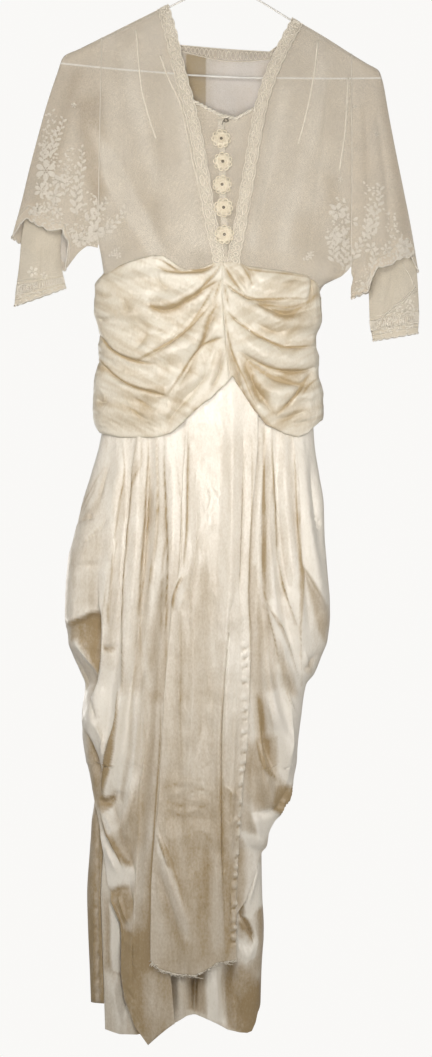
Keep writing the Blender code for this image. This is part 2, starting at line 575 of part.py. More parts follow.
def add_button(name, place, tilt, finish, collection):
    """A crochet rosette with petals round its rim and a dimple in its middle."""
    rings = len(BUTTON_PROFILE)
    shape = bmesh.new()
    bmesh.ops.create_uvsphere(shape, u_segments=2 * BUTTON_PETALS, v_segments=rings - 1, radius=1)
    for vertex in shape.verts:
        polar = math.acos(max(-1, min(1, -vertex.co.z)))
        share, high = BUTTON_PROFILE[round(polar / math.pi * (rings - 1))]
        around = math.atan2(vertex.co.y, vertex.co.x)
        petal = 1 + PETAL_DEPTH * math.cos(BUTTON_PETALS * around)
        radius = BUTTON_RADIUS * share * petal
        vertex.co = (radius * math.cos(around) * MM, radius * math.sin(around) * MM,
                     BUTTON_THICK * high * MM)
    mesh = bpy.data.meshes.new(name)
    shape.to_mesh(mesh)
    shape.free()
    mesh.shade_smooth()
    made = add_object(name, mesh, finish, collection)
    made.matrix_world = (Matrix.Translation([value * MM for value in place])
                         @ Matrix.Rotation(math.pi / 2 - tilt, 4, "X"))


def tube_points(table, rows, stations, front_cut=NO_CUT, surface=sleeve):
    """A closed tube: down the front from overarm to underarm, and back up behind."""
    share = np.concatenate([stations, stations[-2:0:-1], stations[:1]])
    side = np.concatenate([-np.ones(len(stations)), np.ones(len(stations) - 1)])
    shares, t = grid(share, rows)
    sides, _ = grid(side, rows)
    return surface(table, t, shares, sides, front_cut)


def undersleeve(table, t, share, side, front_cut=NO_CUT):
    outer_x, outer_down = column(table, t, 1), column(table, t, 2)
    inner_x, inner_down = column(table, t, 3), column(table, t, 4)
    depth = column(table, t, 5) * np.sin(np.pi * share) ** ARMHOLE_POWER
    return stack(mix(outer_x, inner_x, share), side * depth, mix(outer_down, inner_down, share))


def add_sleeves(collection, net, lace):
    stations = np.array(SLEEVE_STATIONS, float)
    for name, table, cut in (("sleeve_l", SLEEVE_L, 0), ("sleeve_r", SLEEVE_R, 1)):
        points = tube_points(table, np.linspace(0, 8, 11), stations, SLEEVE_FRONT_CUT[cut])
        away = 1 if table is SLEEVE_R else -1
        points[:, 0, 0] += away * 1.5 * SEAM_GAP
        add_sheet(name, points, NET_WALL, net, collection, closed=True)
    stations = np.array(UNDERSLEEVE_STATIONS, float)
    for name, table in (("undersleeve_l", UNDERSLEEVE_L), ("undersleeve_r", UNDERSLEEVE_R)):
        points = tube_points(table, np.linspace(0, 4, 7), stations, surface=undersleeve)
        add_sheet(name, points, NET_WALL, lace, collection, closed=True)


def girdle_points(start, end, across, along):
    """Part of the girdle's ring between two x places on its front, with its ruching."""
    u, s = unit_grid(across, along)
    nominal = ring(*GIRDLE_RING, mix(start(WAIST), end(WAIST), u))[0]
    down = mix(line(GIRDLE_TOP, nominal), line(GIRDLE_BOTTOM, nominal), s)
    points = girdle(mix(start(down), end(down), u), down)
    return moved_out(points, fold_height(points[..., 0], down, GIRDLE_FOLDS))


def gather(offset):
    """The gather line at the centre front, moved across by an offset."""
    def at(down):
        left, right = column(GIRDLE, down, 1), column(GIRDLE, down, 2)
        return degrees_at(left, right, line(GIRDLE_GATHER, down) + offset)
    return at


def girdle_back(u, s):
    down = mix(line(GIRDLE_BACK_TOP, u), mix(*GIRDLE_BACK_LOW, np.sin(np.pi * u)), s)
    back = girdle(mix(-GIRDLE_SIDE_DEGREES, -180 + GIRDLE_SIDE_DEGREES, u), down)
    ruches, height = GIRDLE_BACK_RUCHES
    return moved_out(back, height * np.sin(ruches * np.pi * s) ** 2 * np.sin(np.pi * u) ** 0.6)


def add_girdle(collection, satin):
    left = girdle_points(lambda down: GIRDLE_SIDE_DEGREES, gather(-SEAM_GAP), *GIRDLE_L_GRID)
    add_sheet("girdle_front_l", left, GIRDLE_WALL, satin, collection)
    right = girdle_points(gather(SEAM_GAP), lambda down: 180 - GIRDLE_SIDE_DEGREES, *GIRDLE_R_GRID)
    add_sheet("girdle_front_r", right, GIRDLE_WALL, satin, collection)
    back = girdle_back(*unit_grid(*GIRDLE_BACK_GRID))
    add_sheet("girdle_back", back, GIRDLE_WALL, satin, collection)


def drape_window(x, down):
    """1 away from the front panel, 0 beneath it."""
    left = smooth(-8, -FOLD_FADE - 8, x - column(PANEL, down, 1))
    right = smooth(8, FOLD_FADE + 8, x - column(PANEL, down, 2))
    return np.maximum(left, right)


def drape_points(start, end, u, down):
    """A drape between two ring angles, with its folds, raised over the underskirt's edges."""
    points = skirt(mix(start, end, u), down)
    x = points[..., 0]
    height = fold_height(x, down, DRAPE_FOLDS) * drape_window(x, down) * smooth(0, -12, points[..., 1])
    return moved_out(points, line(DRAPE_LIFT, down) + height * smooth(*FOLDS_START, down))


def drape_l(u, outer_down):
    """The left drape: u from its outer edge to the panel, rows slanted upwards near the hem."""
    slant = mix(DRAPE_L_SLANT, DRAPE_L_END, (outer_down - DRAPE_L_SLANT) / (GOWN_LENGTH - DRAPE_L_SLANT))
    inner_down = np.where(outer_down > DRAPE_L_SLANT, slant, outer_down)
    inner = np.where(inner_down < DRAPE_L_INNER[0][0], column(PANEL, inner_down, 1) + PANEL_OVERLAP,
                     line(DRAPE_L_INNER, inner_down))
    start = np.where(outer_down < FREE_EDGE_TOP, line(DRAPE_SEAM, outer_down) + SKIRT_GAP,
                     skirt_degrees(outer_down, line(FREE_EDGE_L, outer_down)))
    return drape_points(start, skirt_degrees(inner_down, inner), u, mix(outer_down, inner_down, u))


def drape_r(u, outer_down):
    """The right drape: u from the panel to its outer edge, rows slanted downwards below the hips."""
    lower = np.maximum(outer_down - SEAM_ROWS[-1], 0) / (DRAPE_R_ROWS[-1] - SEAM_ROWS[-1])
    inner_down = outer_down + lower * (DRAPE_R_END - DRAPE_R_ROWS[-1])
    start = skirt_degrees(inner_down, column(PANEL, inner_down, 2) - PANEL_OVERLAP)
    end = np.where(outer_down < FREE_EDGE_TOP, line(DRAPE_SEAM, outer_down, 2) - SKIRT_GAP,
                   skirt_degrees(outer_down, line(FREE_EDGE_R, outer_down)))
    return drape_points(start, end, u, mix(inner_down, outer_down, u))


def front_panel(u, s):
    """The apron panel over both drapes: u across, s down to its uneven hem."""
    down = mix(SEAM_ROWS[0], line(PANEL_HEM, mix(PANEL_HEM[0][0], PANEL_HEM[-1][0], u)), s)
    x = mix(column(PANEL, down, 1), column(PANEL, down, 2), u)
    points = skirt(skirt_degrees(down, x), down)
    return moved_out(points, line(DRAPE_LIFT, down) + PANEL_LIFT + fold_height(x, down, PANEL_FOLDS))


def skirt_back(u, down):
    """The back panel between the side seams; below the hips it joins the underskirt."""
    start, end = line(SIDE_SEAM, down), line(SIDE_SEAM, down, 2) - 360
    degrees = mix(start - SKIRT_GAP / 2, end + SKIRT_GAP / 2, u)
    points = skirt(degrees, down, smooth(*UNDER_START, down))
    behind = smooth(5, 25, points[..., 1]) * smooth(0, 0.12, u) * smooth(1, 0.88, u)
    return moved_out(points, fold_height(points[..., 0], down, BACK_FOLDS) * behind)


def underskirt(u, down):
    start = np.maximum(0, line(SIDE_SEAM, down)) + SKIRT_GAP
    end = np.minimum(180, line(SIDE_SEAM, down, 2)) - SKIRT_GAP / 2
    points = skirt(mix(start, end, u), down, 1.0)
    return moved_out(points, fold_height(points[..., 0], down, UNDER_FOLDS))


def add_skirt(collection, satin):
    u, down = grid(np.linspace(0, 1, DRAPE_L_COLUMNS), SEAM_ROWS + DRAPE_L_ROWS)
    add_sheet("drape_l", drape_l(u, down), SATIN_WALL, satin, collection)
    u, down = grid(np.linspace(0, 1, DRAPE_R_COLUMNS), SEAM_ROWS + DRAPE_R_ROWS)
    add_sheet("drape_r", drape_r(u, down), SATIN_WALL, satin, collection)
    add_sheet("front_panel", front_panel(*unit_grid(*PANEL_GRID)), SATIN_WALL, satin, collection)
    u, down = grid(np.linspace(0, 1, BACK_PANEL_COLUMNS), SEAM_ROWS + BACK_ROWS)
    add_sheet("skirt_back", skirt_back(u, down), SATIN_WALL, satin, collection)
    u, down = grid(np.linspace(0, 1, UNDERSKIRT_COLUMNS), UNDER_ROWS + (0, 0))
    hem = line(UNDER_HEM, mix(UNDER_HEM[0][0], UNDER_HEM[-1][0], u[:, 0]))
    down[:, -2] = mix(UNDER_ROWS[-1], hem, 0.5)
    down[:, -1] = hem
    add_sheet("underskirt", underskirt(u, down), SATIN_WALL, satin, collection)


def main():
    for existing in list(bpy.data.objects):
        bpy.data.objects.remove(existing, do_unlink=True)
    collection = bpy.data.collections.new("hobble_gown")
    bpy.context.scene.collection.children.link(collection)
    net = material("ivory_net", (0.60, 0.52, 0.40), 0.8)
    lace = material("ivory_lace", (0.66, 0.58, 0.46), 0.75)
    crochet = material("crochet_thread", (0.64, 0.56, 0.42), 0.85)
    satin = material("ivory_satin", (0.70, 0.62, 0.47), 0.32)
    add_hanger(collection)
    add_bodice(collection, net, lace)
    add_lace(collection, lace)
    add_chemisette(collection, net, lace, crochet)
    add_sleeves(collection, net, lace)
    add_girdle(collection, satin)
    add_skirt(collection, satin)


main()
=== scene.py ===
"""The looks of the hobble gown: sheer net and lace, crochet buttons and creased ivory satin.

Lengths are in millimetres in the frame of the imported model. "down" is the distance below the crown
of the hanger's hook, x runs to the viewer's right and the front faces -Y. Creases, motifs and seams
are placed on the front view, in pixels of the photograph: PIXEL turns them into millimetres.
"""
import math

import bpy
import numpy as np
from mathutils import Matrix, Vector
from mathutils.bvhtree import BVHTree


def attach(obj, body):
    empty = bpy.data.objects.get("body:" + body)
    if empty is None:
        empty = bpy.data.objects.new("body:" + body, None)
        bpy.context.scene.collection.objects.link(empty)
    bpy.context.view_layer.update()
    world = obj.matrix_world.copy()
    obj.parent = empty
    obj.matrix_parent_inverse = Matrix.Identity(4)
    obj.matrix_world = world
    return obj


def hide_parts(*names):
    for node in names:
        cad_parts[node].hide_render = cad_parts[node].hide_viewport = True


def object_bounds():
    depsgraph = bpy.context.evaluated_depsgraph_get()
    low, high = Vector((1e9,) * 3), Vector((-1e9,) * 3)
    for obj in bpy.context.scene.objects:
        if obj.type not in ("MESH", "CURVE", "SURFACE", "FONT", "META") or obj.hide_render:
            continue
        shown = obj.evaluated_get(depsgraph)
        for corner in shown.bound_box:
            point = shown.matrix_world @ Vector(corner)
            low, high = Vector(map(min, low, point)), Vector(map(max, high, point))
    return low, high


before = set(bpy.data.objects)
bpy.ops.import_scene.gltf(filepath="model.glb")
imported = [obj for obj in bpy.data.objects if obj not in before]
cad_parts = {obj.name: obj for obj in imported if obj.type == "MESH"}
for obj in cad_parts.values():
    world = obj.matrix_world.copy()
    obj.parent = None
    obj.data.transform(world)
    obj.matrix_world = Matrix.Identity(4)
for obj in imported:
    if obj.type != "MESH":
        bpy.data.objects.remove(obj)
cad_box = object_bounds()

# A millimetre in metres; a pixel in millimetres, and where the hook's crown lies on the photograph
MM = 0.001
PIXEL = 1.3
PHOTO_MIDDLE = 222.0
PHOTO_TOP = -83.0
PHOTO_SIZE = (432, 1057)

# Sizes of the gown, with its lowest point and its waist down from the crown
GOWN_LENGTH = 1462.0
WAIST = 537.0
NET_WALL = 1.2
LACE_WALL = 1.2
SEAM_GAP = 0.3
# Power of the rings, which are squarer than an ellipse
RING_POWER = 2.3
# Thickness given to the shells of satin, lace and the tab
SATIN_THICK = 0.7
LACE_THICK = 0.5
TAB_THICK = 0.6

# How far the cloth stands out from the wire: drop below the shoulder line, reach
OVER_WIRE = ((0, 0.9), (4.1, 2.9), (12, 5.0), (30, 9.5), (60, 16.0), (110, 60.0))
# Centre depths of the bodice: down, front, back
BODICE_DEPTH = (
    (120, 6.0, 5.0), (165, 8.0, 6.0), (200, 13.0, 9.0), (250, 19.0, 13.0), (300, 25.0, 19.0),
    (350, 30.0, 24.0), (400, 34.0, 29.0), (446, 36.5, 33.0), (500, 38.0, 36.0), (540, 39.0, 37.0))
ARMHOLE_DEPTH = 12.0
ARMHOLE_POWER = 0.8
SIDE_EDGE_DEPTH = 0.9
SHOULDER_DEPTH = 3.3
NECK_POINT_REACH = 2.0
# Curve of the bodice across: roundness of the fronts at the side seam, then power and roundness of
# the back, and the heights between which it gets round
FRONT_ROUND = 1.3
BACK_POWER = 2.3
BACK_ROUND = 1.2
BACK_ROUND_START = (470, 505)

# Bodice fronts: row, armhole or side x, down, V edge x, down, roundness at the side seam
FRONT_L = (
    (0, -156, 156.8, -77, 117.3, 0), (1, -156, 160.8, -75.5, 121.3, 0), (2, -156.4, 182, -67, 150, 0),
    (3, -157.1, 225, -56, 198, 0), (4, -158, 270, -42, 250, 0), (5, -159, 320, -30, 303, 0),
    (6, -160, 375, -20, 365, 0), (7, -160.8, 418, -11, 415, 0.2), (8, -157, 442, -5, 440, 0.8),
    (9, -153, 468, -3, 468, 1), (10, -149, 505, -3, 505, 1), (11, -149, WAIST, -3, WAIST, 1))
FRONT_R = (
    (0, 168, 178, 98, 135, 0), (1, 168, 182, 96, 139, 0), (2, 168, 200, 82, 165, 0),
    (3, 168, 235, 64, 205, 0), (4, 168, 280, 50, 250, 0), (5, 168, 330, 40, 305, 0),
    (6, 167.6, 385, 30, 365, 0), (7, 168, 448, 20, 420, 0), (8, 157, 466, 15, 446, 0),
    (9, 131, 479, 14, 470, 0.3), (10, 119, 505, 13, 505, 0.9), (11, 113, WAIST, 13, WAIST, 1))
# Top line of the back, over the shoulders and round the neck: share across, down
BACK_TOP = (
    (0, 156.8), (0.12, 137.3), (0.244, 117.3), (0.262, 144), (0.306, 166), (0.48, 171), (0.673, 175),
    (0.735, 160), (0.785, 135), (0.9, 157), (1, 178))
# The lace round the back of the neck: its span across the back, its depth down it
NECK_SPAN = (0.265, 0.735)
NECK_DEEP = 0.035
UNDERARM_ROW = 7
UNDERARM_REACH = 14.0

# Sleeves: row, overarm x, down, underarm x, down, depth
SLEEVE_L = (
    (0, -156, 156.8, -161, 430, 12.5), (1, -184, 170.8, -166, 429, 13), (2, -206, 181.8, -171, 428, 14),
    (3, -214.5, 204, -175, 428, 14), (4, -227.5, 243, -180, 431, 14), (5, -240, 288, -186, 436, 15),
    (6, -251, 330, -191, 442, 16), (7, -261, 372, -197, 450, 17), (8, -273, 415, -203, 458, 18))
SLEEVE_R = (
    (0, 168, 178, 168, 463, 12.5), (1, 188, 190.3, 169, 466, 13), (2, 204, 200.1, 170, 469, 14),
    (3, 209, 214, 170, 471, 14), (4, 217, 258, 169.5, 474, 14), (5, 226, 305, 169, 477, 15),
    (6, 235.5, 352, 168, 480, 16), (7, 246, 405, 167.5, 485, 17), (8, 255, 459, 168, 494, 18))
# How far the front hem is cut back, left and right: share of the sleeve's width, share of its length
SLEEVE_FRONT_CUT = (
    ((0, 0), (0.13, 0.1), (0.34, 0.122), (0.57, 0.172), (0.7, 0.28), (0.86, 0.28), (1, 0)),
    ((0, 0), (0.06, 0.05), (0.22, 0.07), (0.43, 0.075), (0.58, 0.11), (0.66, 0.09), (0.76, 0),
     (1, 0)))
# Under-sleeves: row, outer x, down, inner x, down, depth
UNDERSLEEVE_L = (
    (0, -256, 385, -208, 405, 7), (1, -261, 420, -210, 430, 8), (2, -263.5, 450, -209, 450, 9),
    (3, -267, 478, -206, 468, 10), (4, -270, 505, -203, 481, 11))
UNDERSLEEVE_R = (
    (0, 247.2, 430, 186, 440, 7), (1, 252.9, 458, 190, 468, 8), (2, 255, 485, 191, 495, 9),
    (3, 256, 512, 192, 525, 10), (4, 255, 540, 196, 550, 11))

# Chemisette in the V, its tab and the five crochet buttons
CHEMISETTE_TOP = ((-48, 237), (-6, 259), (17, 264), (52, 246))
CHEMISETTE_BOTTOM = 447.0
CHEMISETTE_SPAN = (-52, 56)
CHEMISETTE_INSET = 1.8
CHEMISETTE_TUCK = 4.0
TAB_HALF = 4.5
TAB_TOP = 264.0
# Buttons: x, down, extra lift where they lie over the lace
BUTTONS = ((-1, 290, 0), (1, 320, 0), (0, 350, 0), (2, 380, 1.8), (3, 415, 2.4))
BUTTONS_LINE = tuple((down, x) for x, down, _ in BUTTONS)
LACE_HALF = 6.5
LACE_SCALLOPS = 22
SCALLOP_DEPTH = 1.5
LACE_BOTTOM = 453.0
LACE_LIFT = (NET_WALL + LACE_WALL) / 2 + 0.5

# Girdle: down, left, right, front, back
GIRDLE = (
    (440, -151, 118, 39.0, 37), (464, -155, 122, 40.0, 38), (480, -165, 128, 41.5, 39),
    (511, -164, 129, 43.5, 40), (550, -157, 122, 45.5, 41), (589, -161, 124, 47.0, 42),
    (628, -167, 130, 49.0, 44), (650, -167, 131, 50.5, 46), (665, -163, 126, 52.0, 48),
    (680, -161, 123, 53.5, 49))
# The plain ring on which the girdle's top and bottom lines are read: left, right, front, back
GIRDLE_RING = (-160, 125, 46, 42)
GIRDLE_TOP = (
    (-156, 464), (-140, 454), (-122, 448), (-97, 441.5), (-81, 442), (-68, 449), (-57, 456.5),
    (-46, 460), (-31, 460), (-20, 456), (-8, 450), (24, 450), (36, 455.5), (56, 458.5), (78, 461),
    (112, 466), (119, 474), (125, 488))
GIRDLE_BOTTOM = (
    (-166, 655), (-158, 671), (-133, 677), (-87, 677), (-70, 672), (-55, 660), (-29, 634), (0, 608),
    (9, 598), (13, 606), (36, 641), (52, 660), (82, 673), (99, 677), (112, 672), (121, 660), (128, 648))
# Top of the girdle's back: share across, down
GIRDLE_BACK_TOP = (
    (0, 466), (0.08, 458), (0.25, 452), (0.6, 453), (0.7, 465), (0.78, 479), (0.86, 490), (1, 494))
# Gather line at the centre front: down, x
GIRDLE_GATHER = ((445, 3), (470, 0), (491, 0), (534, 3), (589, 8), (610, 9))
GIRDLE_SIDE_DEGREES = 0.14

# Skirt rings: down, left, right, front, back, then the underskirt's insets at left, right and front
SKIRT = (
    (537, -149, 113, 39.0, 37, 2.4, 2.4, 2.2), (600, -151, 115, 40.0, 38, 3, 3, 2.4),
    (655, -154, 118, 43.0, 41, 5, 5, 3), (686, -159, 120, 47, 46, 7, 7, 4),
    (725, -170, 126, 51, 50, 10, 12, 5), (764, -181, 132, 54, 53, 15, 20, 6),
    (803, -190, 133, 57, 56, 20, 28, 7), (842, -198, 136, 60, 58, 25, 34, 8),
    (901, -199, 140, 62, 60, 26, 42, 8), (940, -198, 135, 60, 59, 24, 42, 8),
    (959, -191, 127, 59, 58, 20, 40, 8), (979, -181, 118, 58, 57, 14, 36, 7),
    (998, -174, 105, 57, 56, 11, 30, 7), (1037, -178, 99, 56, 54, 10, 28, 6),
    (1076, -175, 94, 54, 51, 7, 27, 6), (1115, -169, 90, 52, 49, 5, 27, 5),
    (1135, -165, 86, 51, 48, 2, 26, 4), (1154, -166, 77, 50, 47, 0, 20, 2),
    (1174, -169, 70, 49, 46, 0, 15, 0), (1193, -170, 61, 49, 46, 0, 8, 0),
    (1213, -171.5, 51, 48, 45, 0, 0, 0), (1271, -175, 52, 48, 44, 0, 0, 0),
    (1310, -174, 54, 47, 43, 0, 0, 0), (1369, -171.5, 51, 46, 42, 0, 0, 0),
    (1440, -169, 49, 46, 42, 0, 0, 0))
# Side seams of the back panel: down, left, right, in degrees
SIDE_SEAM = (
    (537, -35, 215), (1030, -35, 215), (1060, -20, 202), (1085, -4, 188), (1110, 14, 180.2),
    (1135, 27, 180.2), (1213, 35, 180.2), (1440, 35, 180.2))
# Outer edges of the drapes: down, left, right, in degrees, above the free edges
DRAPE_SEAM = ((537, -35, 215), (1010, -35, 215), (1060, -18, 198), (1100, 0, 180))
FREE_EDGE_L = (
    (1100, -171), (1152, -160), (1213, -150), (1254, -146), (1275, -142), (1305, -129), (1369, -129),
    (1399, -125), (1438, -112), (1462, -95))
FREE_EDGE_R = (
    (1100, 91), (1128, 87), (1154, 74), (1174, 63), (1193, 55), (1213, 47), (1248, 38), (1275, 29),
    (1292, 18))
FREE_EDGE_TOP = 1100.0
# Where the skirt starts, where it passes the hips, and where its pieces end
SKIRT_TOP = 538
HIPS = 1035
DRAPE_R_LOW = 1292
BACK_LOW = 1410
SKIRT_GAP = 0.35
UNDER_START = (1035.0, 1090.0)
# Front panel: down, left, right
PANEL = (
    (537, -43, 44), (677, -47, 46), (732, -51, 42), (792, -53, 37), (845, -55, 35), (889, -64, 34),
    (933, -68, 37), (1009, -74, 34), (1063, -77, 32), (1118, -80, 26), (1173, -84, 21), (1265, -91, 16),
    (1375, -92, 16))
PANEL_HEM = ((-92, 1353), (-81, 1364), (-61, 1370), (-35, 1372), (-18, 1364), (-8, 1356), (16, 1353))
PANEL_OVERLAP = 14.0
PANEL_HOLD = 8
PANEL_LIFT = 2.6
APRON_LIFT = 1.6
DRAPE_LIFT = ((537, 0), (900, 0), (980, 3.4), (1150, 4.5), (1470, 4.5))
# Inner edge of the left drape where it leaves the panel: down, x
DRAPE_L_INNER = ((1290, -76), (1330, -70), (1375, -66), (1434, -61))
# Both drapes hang lower at one edge: the rows slant from a height on, to an end at the other edge
DRAPE_L_SLANT = 1375.0
DRAPE_L_END = 1434.0
DRAPE_R_END = 1306.0
# Hem of the underskirt: x, down
UNDER_HEM = (
    (-153, 1443), (-130, 1449), (-110, 1449), (-85, 1440), (-77, 1434), (-69, 1425), (-61, 1423),
    (-53, 1427), (-43, 1433), (-34, 1438), (-26, 1443), (-10, 1447), (2, 1448), (12, 1446), (22, 1436),
    (31, 1422), (50, 1410))

# Folds: start x, down, control x, down, end x, down, half width, height
GIRDLE_FOLDS = (
    (-4, 458, -60, 466, -150, 480, 11, 6), (-4, 472, -60, 522, -158, 515, 15, 11),
    (-2, 522, -60, 594, -158, 556, 15, 11), (4, 572, -60, 642, -162, 602, 15, 10),
    (0, 612, -50, 662, -164, 640, 12, 6), (10, 458, 60, 478, 122, 482, 11, 6),
    (8, 490, 60, 530, 126, 526, 14, 11), (10, 540, 60, 584, 122, 576, 15, 11),
    (14, 588, 55, 634, 127, 614, 14, 10), (20, 618, 56, 656, 122, 644, 10, 5))
DRAPE_FOLDS = (
    (-83, 665, -80, 900, -124, 1130, 8, 13), (-106, 665, -106, 930, -152, 1150, 9, 13),
    (-128, 680, -146, 880, -166, 1060, 11, 10), (-72, 720, -84, 1000, -108, 1330, 9, 12),
    (-98, 1070, -112, 1186, -146, 1196, 12, 12), (-102, 1150, -110, 1290, -118, 1410, 9, 10),
    (-150, 740, -188, 860, -190, 940, 20, 10), (-150, 1000, -160, 1050, -168, 1090, 12, 8),
    (58, 665, 50, 880, 90, 1010, 8, 13), (79, 665, 80, 820, 104, 930, 9, 10),
    (100, 680, 102, 800, 130, 905, 10, 11), (46, 880, 50, 1010, 84, 1100, 9, 12),
    (40, 1010, 42, 1130, 72, 1166, 9, 11), (30, 1110, 32, 1190, 52, 1206, 9, 9))
PANEL_FOLDS = ((14, 620, 8, 950, -6, 1260, 9, 6), (-70, 1180, -58, 1280, -40, 1365, 12, 6))
UNDER_FOLDS = (
    (-36, 1200, -36, 1330, -36, 1450, 11, -20), (6, 1250, 8, 1350, 4, 1450, 12, -9),
    (-128, 1200, -128, 1330, -122, 1450, 11, -9), (-72, 1250, -70, 1350, -68, 1450, 12, -7))
BACK_FOLDS = (
    (-90, 700, -100, 900, -120, 1180, 14, 7), (-40, 690, -42, 960, -70, 1300, 14, 6),
    (20, 690, 24, 960, -10, 1300, 14, 7), (70, 700, 76, 900, 40, 1180, 13, 6))
FOLD_STEPS = 14
FOLD_FALL = 0.5
FOLD_FADE = 16.0
FOLDS_START = (597.0, 667.0)
GIRDLE_BACK_LOW = (652.0, 668.0)
GIRDLE_BACK_RUCHES = (3.5, 3.0)
# Columns and rows of each piece's grid
FRONT_GRID = (66, 110)
BACK_GRID = (91, 80)
CHEMISETTE_GRID = (40, 70)
TAB_GRID = (7, 60)
NECK_GRID = (90, 8)
SLEEVE_GRID = (40, 90)
UNDERSLEEVE_GRID = (34, 60)
GIRDLE_L_GRID = (150, 170)
GIRDLE_R_GRID = (120, 170)
GIRDLE_BACK_GRID = (96, 70)
DRAPE_L_GRID = (160, 275)
DRAPE_R_GRID = (140, 220)
PANEL_GRID = (96, 264)
SKIRT_BACK_GRID = (110, 160)
UNDER_GRID = (130, 130)


def column(table, at, index):
    """Read one column of a table by its first column, on a smooth curve with no overshoot."""
    key = np.array([row[0] for row in table], float)
    value = np.array([row[index] for row in table], float)
    step = np.diff(key)
    rise = np.diff(value) / step
    slope = np.zeros(len(key))
    slope[0], slope[-1] = rise[0], rise[-1]
    for i in range(1, len(key) - 1):
        if rise[i - 1] * rise[i] > 0:
            slope[i] = 2 * rise[i - 1] * rise[i] / (rise[i - 1] + rise[i])
    at = np.clip(np.asarray(at, float), key[0], key[-1])
    i = np.clip(np.searchsorted(key, at, side="right") - 1, 0, len(key) - 2)
    t = (at - key[i]) / step[i]
    start = (2 * t ** 3 - 3 * t ** 2 + 1) * value[i] + (t ** 3 - 2 * t ** 2 + t) * step[i] * slope[i]
    return start + (3 * t ** 2 - 2 * t ** 3) * value[i + 1] + (t ** 3 - t ** 2) * step[i] * slope[i + 1]


def line(table, at, index=1):
    """Read one column of a table along straight runs."""
    return np.interp(at, [row[0] for row in table], [row[index] for row in table])


def mix(a, b, share):
    """The value that lies a share of the way from a to b."""
    return a + (b - a) * share


def smooth(low, high, at):
    """0 up to low, 1 from high on, and an even curve between them."""
    t = np.clip((at - low) / (high - low), 0, 1)
    return t * t * (3 - 2 * t)


def signed_power(value, power):
    """A power of a value's size, with the value's own sign."""
    return np.sign(value) * np.abs(value) ** power


def ring(left, right, front, back, degrees):
    """A point on a flattened ring: x and y."""
    angle = np.radians(degrees)
    x = (left + right) / 2 - (right - left) / 2 * signed_power(np.cos(angle), 2 / RING_POWER)
    depth = np.where(np.sin(angle) >= 0, front, back)
    return x, -depth * signed_power(np.sin(angle), 2 / RING_POWER)


def degrees_at(left, right, x):
    """The angle of a point on the front of a ring, by its x."""
    share = np.clip(((left + right) / 2 - x) / ((right - left) / 2), -1, 1)
    return np.degrees(np.arccos(signed_power(share, RING_POWER / 2)))


def stack(x, y, down):
    """Points from their x, y and distance down."""
    x, y, down = np.broadcast_arrays(x, y, down)
    return np.stack([x, y, -down], axis=-1).astype(float)


def faded(share, power):
    """1 halfway along a curve, and almost nothing at both of its ends."""
    return np.sin(np.pi * np.clip(share, 0.02, 0.98)) ** power


def outward(points, inside):
    """Unit normals of a grid of points, pointing away from a line of inside points."""
    normal = np.cross(np.gradient(points, axis=0), np.gradient(points, axis=1))
    normal /= np.linalg.norm(normal, axis=-1, keepdims=True)
    away = np.sum(normal * (points - inside), axis=-1, keepdims=True)
    return normal * np.where(away.mean() < 0, -1, 1)


def moved_out(points, amount):
    """The same grid, moved away from the gown's middle by an amount, or by one for each place."""
    inside = points.copy()
    inside[..., 0] = points[..., 0].mean()
    inside[..., 1] = 0
    return points + outward(points, inside) * np.broadcast_to(amount, points.shape[:2])[..., None]


def fold_height(x, down, folds):
    """Height of the folds at each place: soft ridges along curves, faded at both ends."""
    height = np.zeros(np.shape(x))
    step = np.linspace(0, 1, FOLD_STEPS)
    fade = faded(step, FOLD_FALL)
    for x0, d0, x1, d1, x2, d2, width, tall in folds:
        along_x = (1 - step) ** 2 * x0 + 2 * step * (1 - step) * x1 + step ** 2 * x2
        along_d = (1 - step) ** 2 * d0 + 2 * step * (1 - step) * d1 + step ** 2 * d2
        best = np.full(np.shape(x), np.inf)
        level = np.zeros(np.shape(x))
        for i in range(FOLD_STEPS - 1):
            run_x, run_d = along_x[i + 1] - along_x[i], along_d[i + 1] - along_d[i]
            t = ((x - along_x[i]) * run_x + (down - along_d[i]) * run_d) / (run_x ** 2 + run_d ** 2)
            t = np.clip(t, 0, 1)
            far = np.hypot(x - along_x[i] - t * run_x, down - along_d[i] - t * run_d)
            near = far < best
            level = np.where(near, mix(fade[i], fade[i + 1], t), level)
            best = np.minimum(best, far)
        height += tall * level * np.exp(-(best / width) ** 2)
    return height


def grid(columns, rows):
    """Two arrays with the column and the row value of each place of a grid."""
    return np.meshgrid(np.array(columns, float), np.array(rows, float), indexing="ij")


def unit_grid(across, along):
    """Shares from 0 to 1 for each column and each row of a grid."""
    return grid(np.linspace(0, 1, across), np.linspace(0, 1, along))


def over_wire(drop, depth):
    """A depth held in near the shoulder, where the cloth lies over the wire."""
    return np.minimum(depth, line(OVER_WIRE, drop))


def armhole(table):
    """Top of an armhole and its length down to the underarm."""
    top = table[0][2]
    return top, table[UNDERARM_ROW][2] + UNDERARM_REACH - top


def armhole_depth(share, length):
    """Depth of the armhole and the sleeve head, from the shoulder to the underarm."""
    depth = ARMHOLE_DEPTH * np.sin(np.pi * np.clip(share, 0, 1)) ** ARMHOLE_POWER
    least = np.where(share < 0.5, SHOULDER_DEPTH, SIDE_EDGE_DEPTH)
    return over_wire(share * length, np.maximum(depth, least))


def bodice_row(table, v):
    """Both ends of a row of a bodice front, and its depths there."""
    outer_x, outer_down = column(table, v, 1), column(table, v, 2)
    inner_x, inner_down = column(table, v, 3), column(table, v, 4)
    top, length = armhole(table)
    edge = armhole_depth((outer_down - top) / length, length)
    centre = over_wire(inner_down - table[0][4], column(BODICE_DEPTH, inner_down, 1))
    return outer_x, outer_down, inner_x, inner_down, edge, centre


